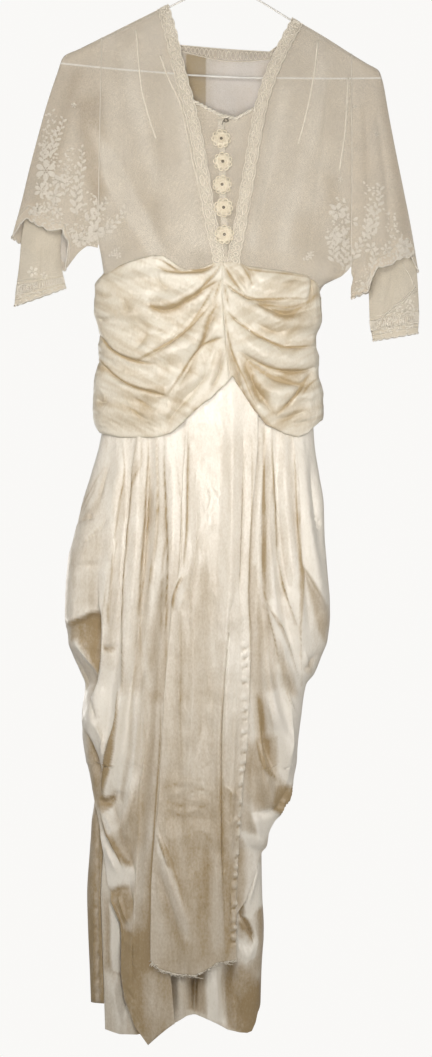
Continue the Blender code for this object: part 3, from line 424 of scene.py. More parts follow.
def bodice_front(table, u, v):
    """The net front: u from the armhole or side seam to the V edge, v down the rows."""
    outer_x, outer_down, inner_x, inner_down, edge, centre = bodice_row(table, v)
    swell = (1 - (1 - u) ** 2) ** (1 / (1 + FRONT_ROUND * column(table, v, 5)))
    depth = edge + (centre - edge) * swell
    return stack(mix(outer_x, inner_x, u), -depth, mix(outer_down, inner_down, u))


def bodice_back(u, s):
    """The net back: u across from left to right, s down from the shoulders and neck to the waist."""
    down = mix(line(BACK_TOP, u), WAIST, s)
    left = np.interp(down, [row[2] for row in FRONT_L], [row[1] for row in FRONT_L])
    right = np.interp(down, [row[2] for row in FRONT_R], [row[1] for row in FRONT_R])
    edges = []
    for table in (FRONT_L, FRONT_R):
        top, length = armhole(table)
        edges.append(armhole_depth((WAIST - top) * s / length, length))
    edge = mix(edges[0], edges[1], smooth(0.3, 0.7, u))
    centre = column(BODICE_DEPTH, down, 2)
    side = smooth(*BACK_ROUND_START, down)
    swell = (1 - np.abs(2 * u - 1) ** BACK_POWER) ** (1 / (1 + BACK_ROUND * side))
    depth = edge + (centre - edge) * swell
    neck = smooth(0.244, 0.30, u) * smooth(0.785, 0.73, u)
    held = over_wire(down - line(BACK_TOP, u), depth)
    held = held + NECK_POINT_REACH * smooth(0.2, 0.244, u) * smooth(0.83, 0.785, u)
    return stack(mix(left, right, u), mix(held, depth, neck), down)


def sleeve(table, t, share, side, front_cut):
    """A sleeve's flattened tube: t along the arm, share from overarm to underarm, side -1 in front."""
    cut = line(front_cut, share) * (side < 0)
    t = t * (1 - cut)
    top_x, top_down = column(table, t, 1), column(table, t, 2)
    low_x, low_down = column(table, t, 3), column(table, t, 4)
    length = np.hypot(low_x - top_x, low_down - top_down)
    depth = column(table, t, 5) * np.sin(np.pi * share) ** ARMHOLE_POWER
    head = np.maximum(depth, np.where(share < 0.5, SHOULDER_DEPTH, 0))
    held = np.minimum(head, line(OVER_WIRE, share * length)) * (share > 0)
    depth = mix(held, depth, smooth(2.4, 3.5, t))
    return stack(mix(top_x, low_x, share), side * depth, mix(top_down, low_down, share))


def girdle(degrees, down):
    """A point of the girdle's plain ring."""
    x, y = ring(*(column(GIRDLE, down, i) for i in (1, 2, 3, 4)), degrees)
    return stack(x, y, down)


def skirt(degrees, down, inner=0.0):
    """The skirt's outer ring, or with inner 1 the underskirt's ring inside it."""
    left, right, front, back = (column(SKIRT, down, i) for i in (1, 2, 3, 4))
    insets = [inner * column(SKIRT, down, i) for i in (5, 6, 7)]
    x, y = ring(left + insets[0], right - insets[1], front - insets[2], back, degrees)
    return stack(x, y, down)


def skirt_degrees(down, x):
    """The angle of a point on the front of the skirt's ring, by its x."""
    return degrees_at(column(SKIRT, down, 1), column(SKIRT, down, 2), x)


def lace_points(table, across, steps):
    """Scalloped edging that lies on the net along the V edge, from shoulder to girdle."""
    last = float(np.interp(LACE_BOTTOM, [row[4] for row in table], [row[0] for row in table]))
    side, v = grid(across, np.linspace(0.25, last, steps))
    outer_x, outer_down, inner_x, inner_down, _, _ = bodice_row(table, v)
    length = np.hypot(inner_x - outer_x, inner_down - outer_down)
    wave = SCALLOP_DEPTH * np.abs(np.sin(np.pi * LACE_SCALLOPS * v / last))
    reach = side * (LACE_HALF + wave)
    points = bodice_front(table, 1 + reach / length, v)
    return moved_out(points, LACE_LIFT)


def chemisette_depth(down):
    """How far the chemisette stands before the middle."""
    return column(BODICE_DEPTH, down, 1) - CHEMISETTE_INSET


def v_edge(table, down):
    """x of a front's V edge."""
    return np.interp(down, [row[4] for row in table], [row[3] for row in table])


def chemisette(u, s):
    """The net inset behind the V, tucked a little under both fronts."""
    nominal = mix(*CHEMISETTE_SPAN, u)
    down = mix(line(CHEMISETTE_TOP, nominal), CHEMISETTE_BOTTOM, s)
    left = v_edge(FRONT_L, down) - CHEMISETTE_TUCK
    right = v_edge(FRONT_R, down) + CHEMISETTE_TUCK
    return stack(mix(left, right, u), -chemisette_depth(down), down)


def tube_points(surface, rows, count):
    """A flattened tube: down its front from the outer to the inner edge, and back up behind."""
    stations = 0.5 - 0.5 * np.cos(np.pi * np.linspace(0, 1, count))
    share = np.concatenate([stations, stations[-2:0:-1], stations[:1]])
    side = np.concatenate([-np.ones(count), np.ones(count - 1)])
    shares, t = grid(share, rows)
    sides, _ = grid(side, rows)
    return surface(t, shares, sides)[:-1]


def undersleeve(table, t, share, side):
    """The lower tier of a sleeve, with the same places as the sleeve."""
    outer_x, outer_down = column(table, t, 1), column(table, t, 2)
    inner_x, inner_down = column(table, t, 3), column(table, t, 4)
    depth = column(table, t, 5) * np.sin(np.pi * share) ** ARMHOLE_POWER
    return stack(mix(outer_x, inner_x, share), side * depth, mix(outer_down, inner_down, share))


def gather_degrees(down):
    """The angle of the gather line at the centre front."""
    left, right = column(GIRDLE, down, 1), column(GIRDLE, down, 2)
    return degrees_at(left, right, line(GIRDLE_GATHER, down))


def girdle_back(u, s):
    """The girdle's back: u across from left to right, s down, with soft ruches."""
    down = mix(line(GIRDLE_BACK_TOP, u), mix(*GIRDLE_BACK_LOW, np.sin(np.pi * u)), s)
    back = girdle(mix(-GIRDLE_SIDE_DEGREES, -180 + GIRDLE_SIDE_DEGREES, u), down)
    ruches, height = GIRDLE_BACK_RUCHES
    return moved_out(back, height * np.sin(ruches * np.pi * s) ** 2 * np.sin(np.pi * u) ** 0.6)


def drape_window(x, down):
    """1 away from the front panel, 0 beneath it."""
    left = smooth(-PANEL_HOLD, -FOLD_FADE - PANEL_HOLD, x - column(PANEL, down, 1))
    right = smooth(PANEL_HOLD, FOLD_FADE + PANEL_HOLD, x - column(PANEL, down, 2))
    return np.maximum(left, right)


def drape_points(start, end, u, down):
    """A drape between two ring angles, with its folds, raised over the underskirt's edges."""
    points = skirt(mix(start, end, u), down)
    x = points[..., 0]
    height = fold_height(x, down, DRAPE_FOLDS) * drape_window(x, down) * smooth(0, -12, points[..., 1])
    return moved_out(points, line(DRAPE_LIFT, down) + height * smooth(*FOLDS_START, down))


def drape_l(u, outer_down):
    """The left drape: u from its outer edge to the panel, rows slanted upwards near the hem."""
    slant = mix(DRAPE_L_SLANT, DRAPE_L_END, (outer_down - DRAPE_L_SLANT) / (GOWN_LENGTH - DRAPE_L_SLANT))
    inner_down = np.where(outer_down > DRAPE_L_SLANT, slant, outer_down)
    inner = np.where(inner_down < DRAPE_L_INNER[0][0], column(PANEL, inner_down, 1) + PANEL_OVERLAP,
                     line(DRAPE_L_INNER, inner_down))
    start = np.where(outer_down < FREE_EDGE_TOP, line(DRAPE_SEAM, outer_down) + SKIRT_GAP,
                     skirt_degrees(outer_down, line(FREE_EDGE_L, outer_down)))
    return drape_points(start, skirt_degrees(inner_down, inner), u, mix(outer_down, inner_down, u))


def drape_r(u, outer_down):
    """The right drape: u from the panel to its outer edge, rows slanted downwards below the hips."""
    lower = np.maximum(outer_down - HIPS, 0) / (DRAPE_R_LOW - HIPS)
    inner_down = outer_down + lower * (DRAPE_R_END - DRAPE_R_LOW)
    start = skirt_degrees(inner_down, column(PANEL, inner_down, 2) - PANEL_OVERLAP)
    end = np.where(outer_down < FREE_EDGE_TOP, line(DRAPE_SEAM, outer_down, 2) - SKIRT_GAP,
                   skirt_degrees(outer_down, line(FREE_EDGE_R, outer_down)))
    return drape_points(start, end, u, mix(inner_down, outer_down, u))


def front_panel(u, s):
    """The apron panel over both drapes: u across, s down to its uneven hem."""
    down = mix(SKIRT_TOP, line(PANEL_HEM, mix(PANEL_HEM[0][0], PANEL_HEM[-1][0], u)), s)
    x = mix(column(PANEL, down, 1), column(PANEL, down, 2), u)
    points = skirt(skirt_degrees(down, x), down)
    return moved_out(points, line(DRAPE_LIFT, down) + PANEL_LIFT + fold_height(x, down, PANEL_FOLDS))


def skirt_back(u, down):
    """The back panel between the side seams; below the hips it joins the underskirt."""
    start, end = line(SIDE_SEAM, down), line(SIDE_SEAM, down, 2) - 360
    degrees = mix(start - SKIRT_GAP / 2, end + SKIRT_GAP / 2, u)
    points = skirt(degrees, down, smooth(*UNDER_START, down))
    behind = smooth(5, 25, points[..., 1]) * smooth(0, 0.12, u) * smooth(1, 0.88, u)
    return moved_out(points, fold_height(points[..., 0], down, BACK_FOLDS) * behind)


def underskirt(u, down):
    """The narrow skirt under the drapes, between the seams of the back panel."""
    start = np.maximum(0, line(SIDE_SEAM, down)) + SKIRT_GAP
    end = np.minimum(180, line(SIDE_SEAM, down, 2)) - SKIRT_GAP / 2
    points = skirt(mix(start, end, u), down, 1.0)
    return moved_out(points, fold_height(points[..., 0], down, UNDER_FOLDS))


# Creases on the front view: width and height in mm, share of the width right of a downward path,
# then the path in pixels. A negative height is a trough.
GIRDLE_CREASES = (
    (3.2, -3.2, 0.8, 159.6, 257.4, 170, 264.5, 179.5, 270, 202.7, 272.3, 218, 266),
    (3.4, -3.4, 0.8, 152, 268, 167, 272, 183, 274, 204, 271.5, 218, 265),
    (9.0, -8.5, 0.45, 150.5, 307, 158, 310.5, 173, 309.7, 192.8, 298, 219, 283),
    (3.6, -2.6, 1.0, 156, 273, 159, 281, 164, 289, 170, 292),
    (3.0, -4.6, 0.5, 139.7, 361.9, 154.6, 354.4, 172.9, 342.8, 186.1, 331.2, 204.4, 310, 215.2, 288),
    (5.5, -3.0, 1.0, 150, 352, 172, 338, 190, 322, 205, 303),
    (3.0, -4.4, 0.5, 101.5, 335, 113.2, 349.5, 128, 358.6, 146.3, 363.5, 156, 364.4),
    (3.2, -5.4, 0.45, 100, 362, 116.5, 377.6, 133, 386.8, 151.3, 392.6, 166, 396.5),
    (3.4, -5.0, 0.6, 169, 397, 179.5, 381, 192.8, 359.4, 204.4, 339.5, 212.7, 319.6, 219.3, 306.3),
    (2.6, -3.2, 0.8, 201.5, 347, 212.7, 341.2, 222, 339.5),
    (3.0, -3.8, 0.8, 201.9, 348, 204.4, 332.9, 209.4, 319.6, 216, 309),
    (5.0, -4.4, 0.7, 196, 352, 188, 372, 177.8, 390),
    (7.5, -6.0, 0.7, 214, 352, 206, 376, 192.8, 392.6, 174, 415, 166, 429),
    (4.0, -3.8, 0.8, 224.3, 352, 219.3, 372.7, 211, 391),
    (6.0, -3.0, 1.0, 134, 398, 142, 403, 151, 408, 157, 412),
    (4.0, -2.4, 1.0, 132, 409, 140, 416, 148, 420),
    (4.0, -2.2, 1.0, 97, 399, 103, 403, 110, 403),
    (3.6, -2.4, 1.0, 95, 294, 104, 297, 113, 296),
    (3.6, -2.4, 1.0, 97, 317, 104, 320, 116, 318),
    (4.6, -2.6, 1.0, 125, 300, 128, 309, 133, 313),
    (4.6, -2.6, 1.0, 148, 328, 145, 338, 140, 347, 135, 352),
    (4.0, -2.0, 1.0, 150, 336, 162, 333, 170, 328),
    (3.4, -2.6, 1.0, 105, 276, 118, 268, 128, 264),
    (3.0, -4.4, 0.7, 224.3, 284.8, 239.2, 295.6, 255.8, 301.4, 279, 302, 309, 300.5),
    (7.5, -8.0, 0.6, 252, 303, 270.7, 311.3, 287.3, 315, 305.5, 307, 320, 293),
    (2.6, -3.0, 0.8, 256, 306, 272, 308, 290, 309, 308, 303),
    (6.5, -4.2, 0.9, 252, 321, 262, 328, 275.7, 333.5, 288, 329),
    (3.2, -5.2, 0.5, 225.9, 313, 242.5, 326.2, 262.4, 339.5, 282.3, 347.5, 302, 348, 317, 345.5),
    (4.5, -3.0, 1.0, 240, 318, 252, 330, 266, 338),
    (3.2, -5.0, 0.7, 241.7, 353.6, 259.1, 363.5, 279, 371, 302.2, 371.5, 314, 367),
    (6.0, -6.6, 0.7, 243.3, 357, 259.1, 370, 279, 381, 302.2, 385.5, 311, 372.7),
    (4.6, -4.0, 0.9, 292, 340, 284, 345, 277, 352),
    (8.5, -8.0, 0.8, 245, 360, 253, 384, 264, 402, 276, 418),
    (5.0, -5.0, 0.8, 226, 344, 236, 366, 241, 388, 252, 408, 268, 428),
    (3.0, -3.6, 0.8, 224.5, 325, 228, 345, 233, 362),
    (4.0, -4.0, 0.5, 312, 372, 299, 389, 287.3, 404, 274, 418),
    (7.0, -5.4, 0.8, 271, 425, 288, 418, 304, 412),
    (3.4, -2.6, 1.0, 277.3, 431, 292, 426, 309, 420.8),
    (3.4, -3.2, 0.6, 310.5, 277, 311, 290, 310, 306),
    (3.4, -3.0, 1.0, 240, 262, 248, 270, 252, 281, 249, 290),
    (3.4, -2.6, 1.0, 232, 270, 240, 280, 246, 290),
    (4.5, -2.6, 1.0, 283, 284, 294, 281, 304, 283),
    (4.5, 1.4, 1.0, 221, 300, 222, 316, 224, 340, 231, 362),
    (2.6, -3.4, 0.8, 222, 264, 214, 276, 203, 288, 196, 299),
    (2.4, -3.2, 0.8, 223, 266, 230, 278, 239, 290, 247, 300),
    (2.2, -2.4, 1.0, 222, 280, 217, 292, 213, 303), (2.2, -2.2, 1.0, 223, 284, 226, 296, 228, 310),
    (2.4, -2.4, 1.0, 206, 262, 214, 264, 222, 263), (2.4, -2.4, 1.0, 224, 263, 234, 262, 246, 266))
DRAPE_CREASES = (
    (4.0, -2.6, 1.0, 108, 468, 104, 482, 99, 504),
    (3.2, -3.2, 0.3, 78, 522, 90, 517, 102, 514),
    (3.0, -2.6, 0.3, 74, 547, 88, 539, 101, 528, 108, 518),
    (3.6, -2.6, 0.4, 69, 567, 90, 564, 112, 561),
    (24.0, -17.0, 0.06, 99.5, 608, 100, 625, 99.5, 650, 97, 676, 91, 694),
    (6.0, 6.0, 1.0, 74, 640, 82, 652, 91, 668, 95, 684),
    (9.0, 6.0, 0.3, 98, 610, 86, 614, 74, 621, 68, 626),
    (3.4, -3.6, 0.7, 103, 646, 110, 648, 118, 645),
    (4.0, -4.0, 1.0, 88, 692, 91, 706, 96, 718),
    (7.0, -7.0, 0.8, 84, 730, 91, 746, 97, 764, 101, 790),
    (7.0, 5.0, 1.0, 90, 716, 99, 730, 105, 748, 104, 770),
    (5.0, -6.0, 0.7, 100, 800, 106, 800, 113, 797, 118, 786),
    (6.0, 4.0, 1.0, 104, 812, 110, 818, 114, 828),
    (7.0, 5.0, 1.0, 106, 842, 112, 856, 118, 870),
    (5.0, -4.0, 1.0, 108, 888, 116, 890, 126, 884),
    (6.0, -3.0, 1.0, 113, 800, 122, 830, 131, 860, 138, 900, 141, 950, 144, 1000),
    (6.0, -4.0, 1.0, 128, 872, 132, 910, 134, 950, 140, 990),
    (5.0, 3.0, 1.0, 118, 892, 124, 908, 130, 924),
    (2.6, -1.8, 1.0, 126, 985, 135, 995, 147, 986),
    (3.0, 1.6, 1.0, 134, 996, 142, 990, 151, 982),
    (7.0, 4.0, 1.0, 138, 640, 137, 700, 134, 760, 128, 810),
    (8.0, -4.0, 1.0, 146, 640, 144, 700, 140, 760, 133, 810, 124, 836),
    (9.0, 6.0, 0.5, 300, 566, 307, 576, 315, 592, 323, 608),
    (5.0, 4.0, 1.0, 303, 650, 306, 664, 310, 676),
    (4.0, -3.4, 1.0, 302, 668, 308, 664, 316, 655),
    (6.0, -4.0, 1.0, 281, 655, 288, 680, 294, 704),
    (6.0, 5.0, 1.0, 289, 696, 289, 740, 285, 785),
    (6.0, 4.0, 1.0, 266, 690, 272, 710, 276, 728),
    (7.0, -5.0, 0.8, 258, 690, 262, 720, 268, 750, 276, 776),
    (4.0, -2.6, 0.8, 286, 788, 276, 806, 262, 812, 250, 806),
    (9.0, 2.0, 1.0, 250, 818, 262, 818, 276, 814),
    (4.0, -2.2, 0.8, 266, 833, 256, 832, 246, 828, 241, 822),
    (8.0, 1.6, 1.0, 242, 836, 250, 842, 262, 842),
    (3.6, -3.0, 1.0, 310, 470, 314, 500, 318, 530),
    (3.0, -2.2, 0.4, 312, 516, 320, 522, 312, 532))
PANEL_CREASES = (
    (7.0, 2.4, 1.0, 233, 425, 232.5, 500, 231, 560, 229, 600, 226, 650, 222.5, 700, 220, 770, 220, 840),
    (3.6, -4.0, 1.3, 232, 592, 229, 622, 226.5, 652, 223.5, 690, 221.5, 730, 221, 780, 222, 860, 225, 960),
    (4.0, -1.6, 1.0, 196, 470, 197, 520, 195, 560, 190, 590, 190, 640),
    (3.4, -2.0, 1.0, 243, 430, 242, 500, 240, 560, 238, 600),
    (9.0, -2.4, 1.0, 205, 560, 204, 620, 204, 680, 200, 740),
    (6.0, -2.4, 1.0, 178, 600, 179, 660, 178, 720, 178, 776),
    (6.0, 2.0, 1.0, 194, 640, 193, 700, 188, 780, 184, 860),
    (7.0, 3.0, 1.0, 236, 650, 234, 720, 231, 790, 229, 860, 229, 930),
    (9.0, -2.6, 0.8, 160, 868, 168, 892, 176, 918, 180, 938),
    (9.0, 3.0, 1.0, 158, 840, 166, 866, 178, 896, 188, 930),
    (9.0, -2.4, 1.0, 166, 836, 174, 866, 182, 892, 190, 916),
    (10.0, -2.2, 1.0, 208, 840, 207, 870, 204, 910, 204, 955),
    (9.0, 2.4, 1.0, 216, 850, 217, 900, 216, 950),
    (6.0, -3.0, 0.8, 228, 850, 230, 900, 230, 950),
    (3.0, 1.4, 1.0, 178, 781, 190, 780, 202, 782),
    (3.0, 1.2, 1.0, 190, 800, 200, 798, 209, 799),
    (3.0, 1.2, 1.0, 170, 808, 182, 810, 196, 808, 206, 811),
    (3.0, 1.2, 1.0, 168, 794, 178, 791, 188, 788),
    (4.0, 2.4, 1.0, 226, 784, 232, 792, 239, 797),
    (4.0, 2.0, 1.0, 229, 822, 236, 818, 242, 820))
UNDER_CREASES = (
    (2.2, -7.0, 0.7, 195, 960, 195, 985, 194.5, 1012),
    (7.0, 4.0, 1.0, 214, 962, 215, 990, 217, 1018),
    (6.0, -5.0, 1.0, 226, 958, 225, 990, 228, 1026),
    (4.0, -3.0, 0.7, 108, 900, 109, 930, 107, 966),
    (2.2, -1.6, 0.6, 106, 966, 114, 970, 124, 972),
    (6.0, 4.0, 1.0, 117, 905, 119, 930, 118, 960),
    (6.0, 3.0, 1.0, 113, 980, 116, 1000, 122, 1024),
    (5.0, -4.0, 1.0, 125, 935, 126, 960, 125, 984),
    (5.0, -3.0, 1.0, 171, 974, 172, 990, 172, 1012),
    (6.0, 3.0, 1.0, 180, 974, 181, 990, 180, 1008),
    (3.0, -5.0, 0.6, 238, 908, 244, 917, 252, 932, 255, 940),
    (6.0, 4.0, 1.0, 240, 946, 246, 954, 254, 946),
    (2.6, 1.8, 0.7, 231, 965, 238, 973, 247, 978, 262, 977),
    (4.0, 4.0, 0.7, 258, 864, 252, 884, 246, 908),
    (6.0, -3.0, 1.0, 236, 990, 240, 1005, 244, 1026))
# Seam and puckers of the strip that shows beside the underskirt
STRIP_CREASES = (
    (1.8, -2.0, 1.0, 99, 806, 98.5, 850, 97.5, 900, 98, 950, 98.5, 1003),
    (3.0, 1.4, 1.0, 94, 880, 95.5, 920, 95, 960, 95.5, 1000))
STRIP_SEAM = ((806, 99), (900, 97.5), (1000, 98.5))
PANEL_SEAM = ((640, 244.5), (740, 243.5), (800, 240.5), (850, 237), (900, 234.5), (952, 233))
# Puckers, in pixels: half length, distance apart, drop of the dimple; then width and height in mm
PUCKER_HALF = 3.6
PUCKER_PITCH = 13.0
PUCKER_DROP = 4
PUCKER_WIDTH = 1.8
PUCKER_HEIGHT = 2.0
# Thin strokes of painted shade along sharp folds: width in mm, amount
LINE_WIDTH = 1.15
LINE_TONE = 0.72
# Pleats pressed flat: width of the slope, height, which side of a downward path it lies on, path.
# The other side drops off in PLEAT_EDGE.
PLEAT_EDGE = 1.5
DRAPE_PLEATS = (
    (5.0, 3.2, -1, 164, 432, 164.5, 480, 165.5, 520, 167, 560, 167, 600, 166, 660, 164.5, 700),
    (7.0, 3.4, -1, 161, 700, 160.5, 740, 157, 790, 153, 850, 151, 900, 150, 955),
    (5.0, 2.6, -1, 157, 432, 158.3, 480, 158, 520, 155.5, 550, 151, 585, 148, 618),
    (5.0, 3.0, -1, 149.5, 434, 147.5, 470, 145, 500, 144, 520, 142, 545, 140, 580, 139, 622),
    (6.0, 3.6, 1, 138.5, 434, 134, 470, 133, 500, 130, 530, 127.5, 560, 126, 590, 125, 620, 124.3, 650,
     123, 680, 120, 705),
    (5.0, 6.0, 1, 119, 692, 117, 716, 112.5, 738, 108, 762, 104.5, 780, 103, 793),
    (5.0, 2.4, 1, 118, 540, 114, 556, 111, 590, 109.5, 606, 108, 624),
    (4.0, 1.6, 1, 186, 432, 185, 480, 182, 540, 179, 576),
    (9.0, 5.0, 1, 102, 812, 108, 829, 114, 842, 119, 853, 124, 866),
    (6.0, 3.0, -1, 110, 896, 116, 906, 121, 920, 124, 934),
    (4.0, 2.4, -1, 264, 428, 263.6, 480, 263, 540, 264, 598),
    (3.6, 3.2, -1, 271, 430, 271.5, 470, 273.5, 520, 275.5, 558),
    (8.0, 3.2, 1, 292.5, 432, 295, 470, 297, 520, 298, 560, 299.5, 600, 300, 640, 300.5, 684),
    (6.0, 3.4, 1, 275, 556, 281, 580, 289, 602, 297, 626),
    (4.0, 3.2, 1, 263, 588, 270, 606, 277, 620, 285, 641, 293, 662, 300, 684),
    (4.0, 2.6, 1, 265, 602, 271, 622, 276, 642, 278, 660),
    (3.0, 3.0, 1, 286, 690, 290, 704, 296, 718),
    (6.0, 3.0, 1, 256, 738, 260, 754, 267, 768, 276, 778),
    (7.0, 5.0, -1, 291, 784, 287, 796, 281, 806, 278, 816))
PANEL_PLEATS = (
    (6.0, 1.6, 1, 189, 428, 188.5, 480, 187.5, 530, 184, 566),
    (7.0, 3.0, 1, 184, 576, 179, 584, 175, 597, 173.5, 608),
    (4.0, 2.4, 1, 157, 830, 162, 842, 167, 856, 170, 866))
# Thin lines of painted shade along sharp folds and crinkles of the skirt: amount of tone, then the path
SKIRT_LINES = (
    (0.7, 251.5, 440, 251.5, 500, 249.5, 550, 248.5, 595, 250, 645, 249, 700),
    (0.5, 262.5, 450, 265, 520, 265, 600), (0.6, 296.5, 445, 299, 500, 300, 570, 300.5, 620),
    (0.6, 122, 438, 125, 470, 120, 505, 114, 545),
    (0.5, 142, 442, 141, 465, 135, 482, 131, 520, 129, 560),
    (0.5, 149, 445, 150, 480, 148, 530, 145, 570, 141, 620, 142.5, 690),
    (0.5, 162, 445, 165, 490, 164, 540, 162, 585, 161, 630),
    (0.4, 175, 450, 181, 500, 182, 540, 181, 570), (0.35, 104, 468, 94, 485, 84, 505, 76, 525),
    (0.3, 98, 482, 90, 500, 81, 517), (0.4, 72, 618, 84, 622, 96, 620, 104, 612),
    (0.35, 110, 568, 105, 600, 102, 624))
# The same on the front panel, where it is crumpled above the knee; a negative amount is a painted highlight
PANEL_LINES = (
    (0.22, 162, 786, 176, 782, 190, 783), (0.18, 180, 775, 192, 778, 207, 776),
    (0.2, 187, 791, 199, 787, 212, 788), (-0.2, 187, 794, 199, 790, 210, 791),
    (0.18, 164, 799, 178, 803, 189, 802), (0.18, 190, 806, 202, 804, 213, 798),
    (0.16, 168, 816, 181, 812, 193, 814), (0.16, 196, 768, 205, 764, 213, 757),
    (0.25, 181, 604, 182, 660, 181, 720, 183, 764),
    (0.3, 160, 826, 165, 842, 172, 860, 179, 884, 186, 910),
    (-0.25, 157, 826, 162, 843, 169, 862, 176, 886, 183, 912), (0.16, 198, 828, 206, 833, 213, 841),
    (0.14, 188, 846, 197, 845, 207, 848), (0.16, 197, 868, 206, 865, 213, 858),
    (0.14, 190, 893, 199, 895, 208, 893))
